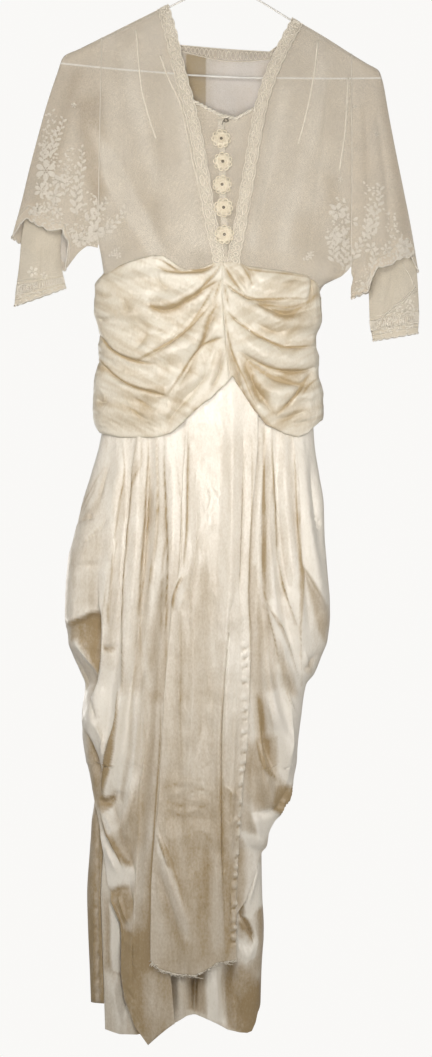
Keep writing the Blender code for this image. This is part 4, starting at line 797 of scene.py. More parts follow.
# Painted shade where the satin turns from the light: amount of deep tone, softness of the edge in
# pixels, then the outline in pixels. Less than nothing is a painted highlight.
DRAPE_SHADES = (
    (0.28, 1.6, 256, 438, 260, 438, 257, 500, 253, 560, 247, 560, 252, 500),
    (0.20, 2, 183, 438, 189, 438, 187, 520, 182, 580, 178, 580, 182, 520),
    (0.24, 2.5, 108, 466, 104, 468, 97, 500, 80, 522, 99, 513, 106, 486),
    (0.16, 3, 72, 552, 88, 545, 103, 530, 112, 545, 110, 558, 72, 565),
    (0.10, 3, 120, 470, 134, 470, 132, 510, 119, 543, 117, 520),
    (0.26, 1.5, 137, 462, 140, 462, 137, 476, 134, 486, 133, 475),
    (0.28, 2.2, 152, 488, 155, 500, 150, 530, 146, 560, 143, 590, 140, 615, 136, 618, 138, 590, 142,
     550, 146, 515),
    (0.30, 3, 165, 576, 168, 600, 167, 650, 165, 700, 154, 700, 150, 660, 153, 620, 158, 596),
    (0.16, 3, 166, 520, 178, 560, 178, 600, 170, 640, 167, 600),
    (0.55, 2.2, 70, 622, 84, 617, 97, 611, 99.5, 625, 99, 650, 95.5, 680, 90, 690, 91, 672, 84, 655,
     76, 640, 70, 640),
    (-0.35, 1.5, 76, 641, 84, 650, 91, 665, 93, 678, 88, 668, 80, 655),
    (0.40, 1.2, 104, 644, 110, 648, 118, 645, 112, 651, 105, 650),
    (0.22, 1.8, 106, 600, 110, 604, 110, 624, 107, 622),
    (0.34, 2.2, 138, 620, 142, 640, 138, 700, 132, 760, 124, 800, 120, 796, 130, 740, 134, 690, 135, 640),
    (0.30, 4, 150, 690, 158, 690, 157, 740, 152, 790, 144, 840, 130, 864, 124, 850, 120, 820, 130, 800,
     142, 770, 148, 730),
    (0.72, 1.6, 119, 690, 116.5, 700, 115, 718, 111, 735, 107, 758, 104, 780, 104, 795, 108, 778, 112,
     760, 116, 738, 119, 715),
    (-0.25, 1.2, 122, 690, 124, 720, 119, 745, 113, 770, 107, 790, 105, 792, 110, 770, 116, 745, 120,
     715),
    (0.55, 2.5, 84, 728, 90, 742, 97, 752, 101, 775, 104, 800, 98, 808, 93, 790, 88, 760),
    (0.60, 2, 102, 795, 112, 794, 117, 796, 113, 805, 104, 811, 100, 806),
    (-0.28, 2, 104, 812, 112, 808, 116, 812, 117, 826, 112, 832, 107, 824),
    (0.60, 2.2, 110, 832, 114, 834, 122, 850, 130, 862, 126, 866, 120, 856, 112, 842),
    (-0.7, 4, 101, 834, 110, 836, 117, 850, 123, 861, 126, 867, 120, 880, 112, 886, 106, 878, 103, 862),
    (-0.30, 2.5, 124, 862, 132, 862, 136, 872, 132, 884, 124, 880),
    (0.55, 2.5, 111, 888, 118, 884, 128, 884, 132, 900, 130, 916, 124, 922, 117, 906, 111, 900),
    (0.50, 6, 153, 840, 156, 960, 124, 968, 126, 940, 142, 920, 144, 880, 147, 856),
    (0.40, 3, 122, 924, 128, 930, 130, 960, 132, 990, 125, 986, 124, 960),
    (0.42, 9, 122, 940, 150, 934, 180, 970, 180, 1016, 152, 1056, 130, 1046, 120, 990),
    (0.25, 4, 122, 940, 132, 930, 140, 980, 146, 1030, 134, 1030, 126, 1000),
    (-0.25, 5, 146, 970, 158, 975, 164, 1010, 154, 1036, 148, 1010),
    (-0.40, 4, 112, 700, 127, 696, 127, 750, 120, 790, 114, 800, 112, 750),
    (-0.25, 5, 130, 690, 142, 690, 140, 790, 128, 830, 124, 800),
    (0.12, 4, 70, 560, 104, 560, 100, 604, 74, 610), (-0.3, 5, 98, 670, 120, 670, 120, 740, 102, 740),
    (-0.7, 4, 276, 690, 300, 700, 297, 740, 290, 785, 278, 770),
    (-0.55, 5, 296, 440, 320, 440, 322, 560, 326, 600, 306, 560),
    (-0.35, 5, 270, 600, 300, 590, 306, 640, 300, 690, 280, 650),
    (-0.30, 4, 246, 838, 262, 840, 256, 880, 244, 900, 238, 870),
    (-0.25, 4, 90, 700, 104, 740, 112, 800, 104, 800, 92, 750),
    (-0.20, 2, 131, 925, 137, 925, 138, 950, 135, 960, 132, 950),
    (0.20, 2, 262, 430, 264, 430, 271, 470, 272, 540, 270, 600, 264, 598, 262, 540),
    (0.28, 1.5, 271, 440, 274, 480, 277, 520, 278, 545, 274, 545, 271.5, 500),
    (0.10, 4, 278, 430, 292, 430, 297, 520, 298, 560, 290, 520, 282, 470),
    (0.34, 2.5, 249, 560, 256, 566, 260, 600, 262, 640, 262, 690, 266, 740, 256, 740, 248, 640),
    (0.26, 2.5, 262, 604, 270, 622, 276, 644, 276, 690, 266, 690, 262, 640),
    (0.34, 2, 277, 632, 284, 650, 293, 668, 298, 690, 298, 716, 290, 704, 283, 684, 278, 660),
    (0.30, 2, 279, 604, 288, 604, 297, 622, 300, 632, 290, 622, 280, 612),
    (0.26, 2, 288, 634, 296, 640, 300, 655, 293, 648),
    (0.42, 2.5, 301, 568, 308, 572, 318, 590, 328, 606, 329, 620, 324, 642, 317, 628, 311, 602, 304, 578),
    (0.36, 2, 302, 668, 306, 662, 314, 660, 310, 673, 304, 672),
    (0.12, 3, 312, 560, 322, 560, 328, 590, 326, 600, 316, 584),
    (0.60, 2, 257, 694, 262, 700, 265, 730, 262, 740, 259, 722),
    (0.44, 3, 258, 738, 278, 734, 281, 750, 279, 778, 270, 776, 262, 758),
    (0.40, 4, 246, 740, 258, 742, 270, 776, 290, 786, 280, 812, 262, 808, 244, 800),
    (0.36, 2, 276, 786, 291, 784, 292, 790, 283, 800, 279, 816, 270, 812),
    (-0.80, 2.5, 252, 812, 270, 808, 281, 812, 272, 834, 258, 832),
    (0.30, 3, 242, 804, 258, 812, 266, 832, 252, 830, 240, 826),
    (-0.30, 2, 240, 829, 252, 833, 268, 834, 262, 843, 250, 846, 244, 840),
    (0.15, 3, 238, 848, 260, 850, 254, 872, 240, 902),
    (0.5, 4, 234, 838, 244, 838, 246, 880, 240, 904, 234, 904))
# Strokes of painted shade along the girdle's sharp folds: paths in pixels
GIRDLE_LINES = (
    (101, 276, 112, 268, 128, 263), (137, 362, 155, 352, 172, 342, 190, 329, 200, 318, 212, 305),
    (185, 333, 196, 318, 207, 300, 214, 288),
    (102, 335, 108, 345, 118, 354, 130, 360, 142, 364, 155, 365),
    (99, 358, 106, 366, 117, 377, 133, 387, 148, 392, 165, 396),
    (168, 397, 178, 380, 190, 361, 200, 348, 205, 335, 208, 325, 213, 312, 218, 304),
    (199, 347, 209, 343, 222, 339), (160, 269, 168, 273, 185, 274, 203, 272, 215, 266),
    (152, 308, 160, 310, 175, 308, 190, 300, 203, 290, 217, 283),
    (225, 284, 233, 291, 242, 297, 250, 301, 270, 300, 290, 299, 305, 299),
    (227, 312, 235, 322, 246, 329, 262, 339, 278, 346, 290, 348, 314, 346),
    (240, 354, 255, 362, 272, 369, 290, 371, 308, 370),
    (243, 357, 258, 370, 275, 380, 290, 384, 302, 385),
    (311, 372, 305, 382, 296, 394, 286, 405, 276, 416), (317, 378, 306, 388, 298, 397),
    (222, 300, 225, 320, 229, 340, 234, 358, 243, 378, 250, 395, 257, 408),
    (241, 266, 247, 276, 253, 288), (222, 264, 213, 277, 203, 288, 195, 299),
    (223, 265, 231, 279, 240, 291), (221, 281, 217, 292, 213, 302), (224, 286, 226, 296, 229, 309),
    (150, 259, 160, 261, 170, 267, 179, 273, 190, 275),
    (241, 266, 250, 271, 262, 273, 285, 275, 300, 277, 314, 279))
GIRDLE_SHADES = (
    (0.22, 6, 100, 396, 150, 396, 164, 410, 156, 434, 106, 434),
    (0.1, 6, 100, 290, 145, 290, 150, 370, 100, 370),
    (0.50, 2.5, 240, 360, 250, 364, 256, 380, 262, 396, 254, 398, 246, 384),
    (0.34, 2, 150, 300, 158, 298, 170, 302, 190, 297, 207, 285, 215, 283, 206, 291, 190, 303, 172, 311,
     158, 312, 151, 309),
    (0.36, 1.8, 158, 268, 170, 266, 183, 272, 204, 270, 214, 264, 216, 268, 205, 275, 183, 277, 165, 276),
    (0.36, 1.8, 101, 277, 112, 265, 128, 261, 122, 267, 110, 273),
    (0.20, 3, 122, 300, 132, 298, 136, 306, 130, 315, 123, 311),
    (0.26, 3, 145, 322, 152, 326, 150, 340, 140, 347, 136, 342, 143, 336),
    (0.26, 3, 150, 352, 168, 342, 190, 328, 202, 316, 192, 332, 172, 350, 156, 360),
    (0.30, 3, 157, 375, 166, 366, 172, 356, 170, 374, 160, 384),
    (0.42, 2, 98, 358, 104, 362, 106, 376, 100, 376),
    (0.44, 2, 148, 391, 165, 386, 167, 397, 158, 403, 150, 397),
    (0.30, 2.5, 138, 398, 148, 395, 156, 402, 152, 409, 142, 405),
    (0.24, 2.5, 130, 408, 137, 411, 145, 420, 138, 421), (0.22, 2, 97, 403, 104, 400, 105, 406, 98, 408),
    (0.44, 3, 178, 392, 186, 376, 197, 360, 202, 356, 196, 374, 188, 390, 176, 406, 168, 420, 166, 418,
     172, 404),
    (0.34, 3, 168, 420, 180, 415, 187, 406, 180, 424, 168, 434),
    (0.30, 2, 200, 362, 206, 346, 217, 340, 212, 352, 204, 372),
    (0.30, 2, 213, 362, 219, 350, 224, 350, 222, 374, 216, 386, 210, 386),
    (0.34, 2.5, 196, 402, 206, 394, 215, 386, 206, 403, 198, 411, 191, 413),
    (0.36, 2, 206, 318, 210, 308, 217, 299, 214, 318, 208, 330, 204, 340, 203, 328),
    (0.50, 2, 256, 302, 275, 304, 290, 306, 308, 302, 300, 309, 292, 319, 278, 320, 265, 314, 258, 308),
    (0.30, 3, 283, 318, 292, 320, 302, 311, 296, 330, 286, 337, 272, 335, 262, 326, 276, 331),
    (0.24, 3, 287, 330, 300, 322, 300, 336, 290, 343, 284, 343),
    (0.24, 3, 240, 296, 252, 304, 256, 316, 250, 323, 238, 312, 232, 302),
    (0.26, 3, 282, 285, 296, 280, 306, 284, 296, 291, 286, 292),
    (0.46, 1.8, 310, 277, 315, 282, 319, 296, 310, 304, 305, 311, 309, 296),
    (0.40, 2, 243, 358, 258, 366, 270, 371, 290, 373, 302, 372, 309, 371, 303, 387, 286, 385, 268, 379,
     254, 371),
    (0.46, 2, 224, 342, 232, 352, 238, 368, 240, 380, 248, 398, 257, 413, 252, 415, 242, 403, 232, 386,
     227, 366),
    (0.44, 2.5, 246, 362, 252, 372, 262, 386, 270, 398, 268, 407, 258, 403, 250, 389, 244, 372),
    (0.20, 3, 262, 402, 276, 406, 288, 404, 280, 415, 268, 413),
    (0.44, 3, 274, 427, 285, 418, 302, 406, 308, 411, 290, 423, 278, 431, 270, 431),
    (0.50, 2, 250, 402, 258, 412, 270, 424, 277, 433, 268, 431, 256, 421, 250, 412),
    (0.24, 3, 224, 263, 236, 267, 246, 276, 250, 290, 243, 292, 232, 280),
    (0.22, 3, 94, 288, 103, 292, 110, 297, 96, 300),
    (0.22, 3, 96, 312, 104, 317, 110, 321, 98, 323))
PANEL_SHADES = (
    (0.1, 8, 186, 436, 250, 436, 246, 560, 186, 560),
    (0.14, 6, 168, 590, 186, 600, 190, 680, 184, 780, 164, 790, 166, 700, 168, 640),
    (-0.20, 2, 174, 584, 182, 582, 184, 592, 180, 608, 175, 606),
    (0.22, 8, 184, 560, 218, 570, 216, 700, 186, 700), (0.1, 8, 184, 700, 218, 700, 216, 960, 170, 960),
    (0.22, 3, 220, 640, 226, 640, 224, 700, 223, 780, 226, 860, 230, 960, 222, 960, 218, 800),
    (0.12, 6, 224, 730, 248, 700, 240, 860, 234, 950, 226, 950),
    (0.30, 16, 160, 785, 240, 785, 236, 980, 156, 980),
    (0.16, 4, 166, 800, 172, 830, 180, 870, 186, 898, 190, 920, 182, 902, 172, 880, 164, 846),
    (0.20, 4, 156, 862, 162, 876, 170, 900, 178, 926, 184, 944, 176, 940, 166, 915, 158, 890),
    (-0.26, 3, 160, 850, 168, 858, 178, 884, 188, 914, 192, 940, 184, 936, 174, 910, 166, 884),
    (-0.30, 1.6, 156.5, 828, 163, 842, 168, 858, 163, 856, 158, 846),
    (0.14, 5, 206, 850, 212, 860, 210, 900, 206, 950, 200, 956, 202, 900),
    (0.2, 3, 226, 850, 234, 860, 234, 945, 227, 950, 225, 900),
    (-0.16, 3, 212, 850, 221, 850, 224, 945, 212, 948))
UNDER_SHADES = (
    (0.30, 3, 106, 896, 112, 900, 113, 965, 105, 965),
    (-0.60, 2.2, 110, 902, 118, 908, 122, 924, 123, 970, 113, 968, 110, 940),
    (-0.20, 3, 106, 972, 124, 976, 132, 1018, 118, 1026, 110, 1000),
    (0.80, 2, 122, 925, 132, 930, 134, 1000, 124, 985),
    (0.70, 3, 150, 960, 158, 964, 160, 1020, 140, 1040, 132, 1000),
    (0.40, 3, 158, 968, 171, 972, 172, 1012, 160, 1022),
    (0.35, 2, 187, 966, 195, 966, 195, 1008, 187, 1006),
    (0.30, 2, 196, 966, 207, 966, 207, 1012, 196, 1008),
    (-0.50, 3, 206, 958, 222, 956, 224, 1020, 210, 1016),
    (0.45, 3, 225, 956, 236, 962, 262, 978, 262, 1020, 252, 1034, 228, 1026),
    (0.4, 7, 238, 1000, 262, 985, 262, 1034, 236, 1034),
    (-0.55, 1.5, 258, 860, 262, 880, 263, 904, 256, 910, 247, 918, 242, 912, 246, 900, 252, 880),
    (0.60, 1.5, 237, 900, 243, 902, 246, 910, 240, 914, 237, 908),
    (0.60, 1.5, 240, 914, 246, 914, 254, 932, 253, 942, 246, 932, 238, 924),
    (-0.45, 1.5, 236, 936, 244, 938, 251, 946, 254, 926, 258, 940, 254, 956, 246, 961, 238, 958),
    (0.34, 3, 255, 905, 264, 905, 263, 976, 250, 968, 258, 950))
STRIP_SHADES = (
    (0.55, 4, 84, 798, 108, 798, 112, 900, 106, 1006, 84, 1006),
    (-0.22, 1.2, 96.5, 870, 99, 870, 99.5, 1000, 96.5, 1000),
    (0.30, 1.2, 101, 812, 104, 850, 110, 888, 108, 960, 105, 1003, 102, 1003, 105, 940, 107, 895, 101,
     850))
# Similar creases where the photograph doesn't show the gown
BACK_CREASES = (
    (5.0, -5.0, 0.8, 120, 440, 118, 520, 112, 620, 108, 720),
    (4.0, -4.0, 0.8, 150, 440, 150, 520, 142, 610, 140, 700, 134, 780),
    (6.0, -5.0, 1.0, 190, 446, 188, 540, 184, 640, 178, 740, 176, 840),
    (4.0, -4.0, 0.8, 226, 446, 226, 520, 224, 600, 216, 700),
    (5.0, -5.0, 0.8, 262, 440, 268, 520, 272, 600, 262, 700, 246, 780),
    (4.0, -3.6, 0.8, 292, 440, 300, 500, 304, 560, 296, 640),
    (6.0, -4.4, 1.0, 118, 700, 130, 760, 132, 840, 126, 920, 124, 1000),
    (5.0, -4.0, 1.0, 160, 760, 158, 840, 152, 930, 150, 1010),
    (5.0, -4.0, 1.0, 210, 720, 204, 800, 200, 900, 198, 1000),
    (4.6, -3.6, 1.0, 244, 800, 236, 880, 236, 960),
    (4.0, -3.0, 1.0, 100, 640, 112, 652, 126, 656),
    (4.0, -3.0, 1.0, 268, 660, 284, 650, 300, 640))
GIRDLE_BACK_CREASES = (
    (5.0, -4.5, 0.8, 100, 290, 150, 300, 200, 296, 260, 300, 310, 306),
    (4.0, -4.0, 0.8, 98, 316, 160, 330, 220, 322, 280, 334, 314, 330),
    (5.5, -5.0, 0.8, 98, 346, 150, 352, 210, 360, 270, 354, 316, 362),
    (4.0, -4.0, 0.8, 98, 376, 150, 388, 230, 380, 290, 390, 314, 386),
    (4.0, -3.0, 1.0, 110, 404, 170, 412, 230, 404, 300, 410),
    (3.4, -3.0, 1.0, 150, 308, 180, 314, 210, 310),
    (3.4, -3.0, 1.0, 230, 342, 262, 346, 290, 342))
NET_CREASES = (
    (7.0, -2.4, 1.0, 168, 60, 160, 140, 150, 260),
    (6.0, -2.0, 1.0, 120, 50, 122, 140, 130, 250),
    (7.0, -2.4, 1.0, 280, 110, 268, 180, 252, 256),
    (6.0, -2.0, 1.0, 330, 60, 322, 150, 306, 262),
    (8.0, -3.2, 0.8, 84, 70, 80, 150, 76, 230),
    (6.0, -2.6, 0.8, 62, 130, 54, 180, 46, 226),
    (8.0, -3.6, 0.8, 356, 70, 366, 150, 366, 270),
    (7.0, -3.2, 0.8, 376, 110, 386, 180, 392, 270),
    (4.0, -2.6, 0.8, 41, 236, 41, 270, 42, 304),
    (5.0, -2.6, 0.8, 392, 268, 388, 300, 380, 330))

# How the creases run out to their sides: share of their width, power of the fall, and gain in height
CREASE_WIDTH = 0.8
CREASE_CREST = 1.15
CREASE_GAIN = 1.35
# Their steps between two points, the power of the fall at their ends, how many widths away they reach
CREASE_STEPS = 5
CREASE_FALL = 0.6
CREASE_REACH = 2.6
# Edges of the zones of tone: how far a wide and a narrow one reach, and the softness that parts them
WIDE_REACH = 1.6
NARROW_REACH = 1.1
WIDE_FROM = 3
FAR_AWAY = 1e9
# Crushed satin: cell across, cell along and height of each size of wrinkle
CRUSHED = ((24, 30, 2.4), (11, 15, 1.3), (5, 8, 0.55))
CRUSHED_LEVEL = 0.35
# The wrinkles wander by this much, on cells of this size
WANDER = 4
WANDER_CELL = 30
LATTICE = 64
# Painted streaks of shade and highlight where crushed satin turns from the light: cell across, cell
# along, part; then what they add everywhere, their least and most
STREAKS = ((13, 50, 0.25), (6, 34, 0.22), (3, 16, 0.2))
STREAK_TONE = 0.06
STREAK_LIMITS = (-0.1, 0.35)
# Painted shade in troughs: depth in mm for a whole tone, and the most
TROUGH_SHADE = (40, 0.22)
# Painted shade on steep sides: for each unit of slope, the part that does not count, and the most
SLOPE_SHADE = (0.3, 0.12, 0.4)


def from_photo(points):
    """Pixels of the photograph as x and down."""
    points = np.array(points, float).reshape(-1, 2)
    return (points - (PHOTO_MIDDLE, PHOTO_TOP)) * PIXEL


def curve_through(points, steps):
    """A smooth curve through points, with a number of steps between each two."""
    points = np.vstack([2 * points[0] - points[1], points, 2 * points[-1] - points[-2]])
    made = []
    for i in range(1, len(points) - 2):
        a, b, c, d = points[i - 1:i + 3]
        for t in np.arange(steps) / steps:
            made.append(0.5 * (2 * b + (c - a) * t + (2 * a - 5 * b + 4 * c - d) * t ** 2
                               + (3 * b - a - 3 * c + d) * t ** 3))
    return np.array(made + [points[-2]])


def beside(x, down, a, b):
    """Share along a straight run where each place is nearest to it, and the gaps to that point."""
    run = b - a
    t = np.clip(((x - a[0]) * run[0] + (down - a[1]) * run[1]) / (run @ run), 0, 1)
    return t, x - a[0] - t * run[0], down - a[1] - t * run[1]


def crease_height(x, down, creases):
    """Heights of soft troughs and ridges along curves, fading out towards both ends."""
    height = np.zeros(x.shape)
    for width, tall, lean, *path in creases:
        path = curve_through(from_photo(path), CREASE_STEPS)
        reach = CREASE_REACH * width * max(1, lean)
        near = ((x > path[:, 0].min() - reach) & (x < path[:, 0].max() + reach)
                & (down > path[:, 1].min() - reach) & (down < path[:, 1].max() + reach))
        px, pd = x[near], down[near]
        if not px.size:
            continue
        best = np.full(px.shape, FAR_AWAY)
        share = np.ones(px.shape)
        level = np.zeros(px.shape)
        for i in range(len(path) - 1):
            run = path[i + 1] - path[i]
            t, gap_x, gap_d = beside(px, pd, path[i], path[i + 1])
            far = np.hypot(gap_x, gap_d)
            closer = far < best
            best = np.where(closer, far, best)
            share = np.where(closer, np.where(run[1] * gap_x - run[0] * gap_d > 0, lean, 1), share)
            level = np.where(closer, (i + t) / (len(path) - 1), level)
        side = np.exp(-(best / (CREASE_WIDTH * width * share)) ** CREASE_CREST)
        height[near] += CREASE_GAIN * tall * faded(level, CREASE_FALL) * side
    return height


def pleats(table):
    """The rows of a table of pleats as creases."""
    return tuple((PLEAT_EDGE, tall, width / PLEAT_EDGE, *path) if side > 0 else
                 (width, tall, PLEAT_EDGE / width, *path) for width, tall, side, *path in table)


def strokes(rows):
    """Strokes of painted shade as creases, of painted highlight where negative: in each row an amount of
    tone, then the path.
    """
    return tuple((LINE_WIDTH, tone, 1.0, *path) for tone, *path in rows)


def puckers(seam):
    """Short ridges across a seam, with a dimple below each, in pixels. The seam: rows of y, x."""
    made = []
    for row in np.arange(seam[0][0], seam[-1][0], PUCKER_PITCH):
        x, row = float(line(seam, row)), row + 0.3 * PUCKER_PITCH * math.sin(2.3 * row)
        tilt = 1.6 + math.sin(row)
        ridge = PUCKER_HEIGHT + 0.6 * math.sin(5 * row)
        for level, height in ((row, ridge), (row + PUCKER_DROP, -PUCKER_HEIGHT)):
            path = (x - PUCKER_HALF, level + tilt, x, level, x + PUCKER_HALF, level - tilt)
            made.append((PUCKER_WIDTH, height, 1.0, *path))
    return tuple(made)


def shaded(x, down, zones):
    """Tone of the zones of a table, soft across each outline: painted shade and highlights on the satin,
    yellowing and painted highlights on the net.
    """
    tone = np.zeros(x.shape)
    for amount, soft, *outline in zones:
        corners = from_photo(outline)
        reach = soft * PIXEL * (WIDE_REACH if soft >= WIDE_FROM else NARROW_REACH)
        low, high = corners.min(0) - reach, corners.max(0) + reach
        near = (x > low[0]) & (x < high[0]) & (down > low[1]) & (down < high[1])
        px, pd = x[near], down[near]
        inside = np.zeros(px.shape, bool)
        far = np.full(px.shape, FAR_AWAY)
        for a, b in zip(corners, np.roll(corners, -1, 0)):
            run = b - a
            far = np.minimum(far, np.hypot(*beside(px, pd, a, b)[1:]))
            if run[1]:
                inside ^= ((a[1] > pd) != (b[1] > pd)) & (px < a[0] + (pd - a[1]) * run[0] / run[1])
        tone[near] += amount * smooth(-reach, reach, np.where(inside, far, -far))
    return np.where(tone > 0, np.tanh(1.1 * tone), tone)


def steep(points, height):
    """How steeply a height rises across a grid of points."""
    slope = 0
    for axis in (0, 1):
        step = np.linalg.norm(np.gradient(points, axis=axis), axis=-1)
        slope = slope + (np.gradient(height, axis=axis) / np.maximum(step, 0.3)) ** 2
    return np.sqrt(slope)


def crumple(x, y, cell_x, cell_y, seed):
    """Seeded smooth noise between -1 and 1, on cells of a size."""
    lattice = np.random.default_rng(seed).uniform(-1, 1, (LATTICE, LATTICE))
    x, y = x / cell_x, y / cell_y
    i, j = np.floor(x).astype(int), np.floor(y).astype(int)
    fx, fy = smooth(0, 1, x - i), smooth(0, 1, y - j)
    here, right = i % LATTICE, (i + 1) % LATTICE
    low, high = (mix(lattice[here, row % LATTICE], lattice[right, row % LATTICE], fx) for row in (j, j + 1))
    return mix(low, high, fy)


def turned(x, down, angle):
    """The same places on axes turned by an angle."""
    cos, sin = math.cos(angle), math.sin(angle)
    return x * cos + down * sin, down * cos - x * sin


def crushed(x, down, turn, seed):
    """Sharp small wrinkles at three sizes, their long way turned from the vertical by an angle."""
    across, along = turned(x, down, turn)
    across = across + WANDER * crumple(x, down, WANDER_CELL, WANDER_CELL, seed + 9)
    height = np.zeros(np.shape(x))
    for number, (wide, long, tall) in enumerate(CRUSHED):
        height += tall * (CRUSHED_LEVEL - np.abs(crumple(across, along, wide, long, seed + number)))
    return height


def painted_shade_of(points, height, turn, seed, streaky=1.0):
    """Painted warm shade in troughs and on steep sides, and painted streaks where crushed satin turns from
    the light.
    """
    across, along = turned(points[..., 0], -points[..., 2], turn)
    streaks = sum(part * crumple(across, along, wide, long, seed + wide) for wide, long, part in STREAKS)
    trough, trough_most = TROUGH_SHADE
    gain, start, slope_most = SLOPE_SHADE
    folds = (np.clip(-height / trough, 0, trough_most)
             + np.clip(gain * steep(points, height) - start, 0, slope_most))
    return folds + np.clip(streaky * (streaks + STREAK_TONE), *STREAK_LIMITS)


def add_cloth(name, points, finish, wall=0.0, closed=False, tone=None, dense=None):
    """A cloth shell through a grid of points. Tone, which carries painted shade and highlights and the net's
    yellowing, and dense are painted on it, for its material.
    """
    across, along = points.shape[:2]
    i, j = np.meshgrid(np.arange(across - 1 + closed), np.arange(along - 1), indexing="ij")
    after = (i + 1) % across
    quads = np.stack([i * along + j, after * along + j, after * along + j + 1, i * along + j + 1], -1)
    mesh = bpy.data.meshes.new(name)
    mesh.from_pydata((points.reshape(-1, 3) * MM).tolist(), [], quads.reshape(-1, 4).tolist())
    for label, values in (("tone", tone), ("dense", dense)):
        layer = mesh.attributes.new(label, "FLOAT", "POINT")
        if values is not None:
            layer.data.foreach_set("value", np.broadcast_to(values, (across, along)).ravel().astype("f4"))
    return add_mesh(name, mesh, finish, wall)


def add_mesh(name, mesh, finish, wall=0.0):
    """An object with one material, which rides on the part. With a wall, in mm, it is a shell."""
    mesh.shade_smooth()
    mesh.materials.append(finish)
    made = bpy.data.objects.new(name, mesh)
    bpy.context.scene.collection.objects.link(made)
    if wall:
        solid = made.modifiers.new("wall", "SOLIDIFY")
        solid.thickness = wall * MM
        solid.offset = 0
    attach(made, "root")
    return made


def stands_for(piece, slot, *nodes):
    """The piece, after it has taken the place of nodes of the model."""
    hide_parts(*nodes)
    return piece


def srgb(red, green, blue):
    """A colour given as it shows on a screen, as linear values."""
    shares = [value / 255 for value in (red, green, blue)]
    return (*(s / 12.92 if s <= 0.04045 else ((s + 0.055) / 1.055) ** 2.4 for s in shares), 1)


class Finish:
    """A material with one Principled shader, and short ways to add nodes to it."""

    def __init__(self, name, roughness, **sockets):
        """The sockets are the shader's own, with _ for each space in their names."""
        self.material = bpy.data.materials.new(name)
        self.material.use_nodes = True
        self.tree = self.material.node_tree
        self.shader = self.tree.nodes["Principled BSDF"]
        self.shader.inputs["Roughness"].default_value = roughness
        for socket, value in sockets.items():
            self.shader.inputs[socket.replace("_", " ")].default_value = value
        self.place = self.add("ShaderNodeTexCoord").outputs["Object"]

    def add(self, kind, settings=(), **inputs):
        """A node with its settings and inputs. An input is named, or i with its number."""
        node = self.tree.nodes.new(kind)
        for name, value in dict(settings).items():
            setattr(node, name, value)
        for name, value in inputs.items():
            socket = node.inputs[int(name[1:]) if name[1:].isdigit() else name.replace("_", " ")]
            if isinstance(value, bpy.types.NodeSocket):
                self.tree.links.new(value, socket)
            else:
                socket.default_value = value
        return node

    def noise(self, scale, detail=2.0, stretch=(1, 1, 1)):
        """Cloudy noise on the object, stretched along its axes."""
        place = self.add("ShaderNodeMapping", Vector=self.place, Scale=stretch).outputs[0]
        return self.add("ShaderNodeTexNoise", Vector=place, Scale=scale, Detail=detail).outputs[0]

    def map(self, value, low, high, to_low, to_high):
        """A value taken from the range low to high into another range."""
        return self.add("ShaderNodeMapRange", i0=value, i1=low, i2=high, i3=to_low, i4=to_high).outputs[0]

    def blend(self, share, a, b):
        """Colour a where the share is 0, b where it is 1."""
        return self.add("ShaderNodeMix", {"data_type": "RGBA"}, i0=share, i6=a, i7=b).outputs[2]

    def compute(self, operation, *values, clamp=False):
        """One step of arithmetic on up to three values."""
        inputs = {f"i{number}": value for number, value in enumerate(values)}
        settings = {"operation": operation, "use_clamp": clamp}
        return self.add("ShaderNodeMath", settings, **inputs).outputs[0]

    def sum(self, a, b):
        """Two values together, held between 0 and 1."""
        return self.compute("ADD", a, b, clamp=True)

    def painted(self, label):
        """A value that is painted on the piece."""
        return self.add("ShaderNodeAttribute", {"attribute_name": label}).outputs["Fac"]

    def bump(self, height, distance, strength, normal=None):
        """A fine relief, laid over another one where there is a normal already."""
        more = {"Normal": normal} if normal else {}
        made = self.add("ShaderNodeBump", Height=height, Distance=distance, Strength=strength, **more)
        return made.outputs[0]

    def link(self, socket, value):
        """Give a socket of the shader its value."""
        self.tree.links.new(value, self.shader.inputs[socket])


# The net's cells to a metre
NET_CELLS = 1500.0
# The hanger's bar: depth below the top in mm at the middle, its slope, and its curve in 1/m
BAR_LEVEL = 207.8
BAR_SLOPE = 0.0454
BAR_CURVE = 0.182
# A painted highlight on the net where the bar lies behind it, for the lit bar seen through: where its
# edge starts and ends, in metres from its middle, how strongly it is painted, and its colour
PAINTED_BAR_EDGE = (0.0006, 0.0016)
PAINTED_BAR_SHARE = 0.6
PAINTED_BAR_COLOUR = (255, 254, 250)


def satin(name, light, deep, roughness, crushing=1.0):
    """Creased ivory satin: fine threads, a crushed surface, and painted warm shade and highlights from its
    tone.
    """
    made = Finish(name, roughness, Specular_IOR_Level=0.8, Sheen_Weight=0.08, Sheen_Roughness=0.4)
    made.shader.inputs["Sheen Tint"].default_value = srgb(255, 246, 230)
    age = made.map(made.noise(8.0, 3.0), 0.45, 0.75, 0.0, 0.2)
    grain = made.map(made.noise(420.0, 3.0, (1, 1, 0.6)), 0.35, 0.7, -0.07, 0.1)
    # The tone carries painted shade and highlights; age and grain are the satin's own mottling
    share = made.sum(made.sum(age, made.painted("tone")), grain)
    made.link("Base Color", made.blend(share, srgb(*light), srgb(*deep)))
    slubs = made.noise(420.0, 2.0, (0.16, 0.16, 1))
    crushed = made.noise(90.0, 4.0, (1, 1, 0.55))
    creped = made.noise(260.0, 3.0, (1, 1, 0.6))
    normal = made.bump(slubs, distance=0.0003, strength=0.3)
    normal = made.bump(creped, 0.0012 * crushing, 0.6, normal)
    made.link("Normal", made.bump(crushed, 0.003 * crushing, 0.6, normal))
    made.link("Roughness", made.map(made.noise(40.0, 3.0), 0.3, 0.7, roughness - 0.06, roughness + 0.08))
    return made.material


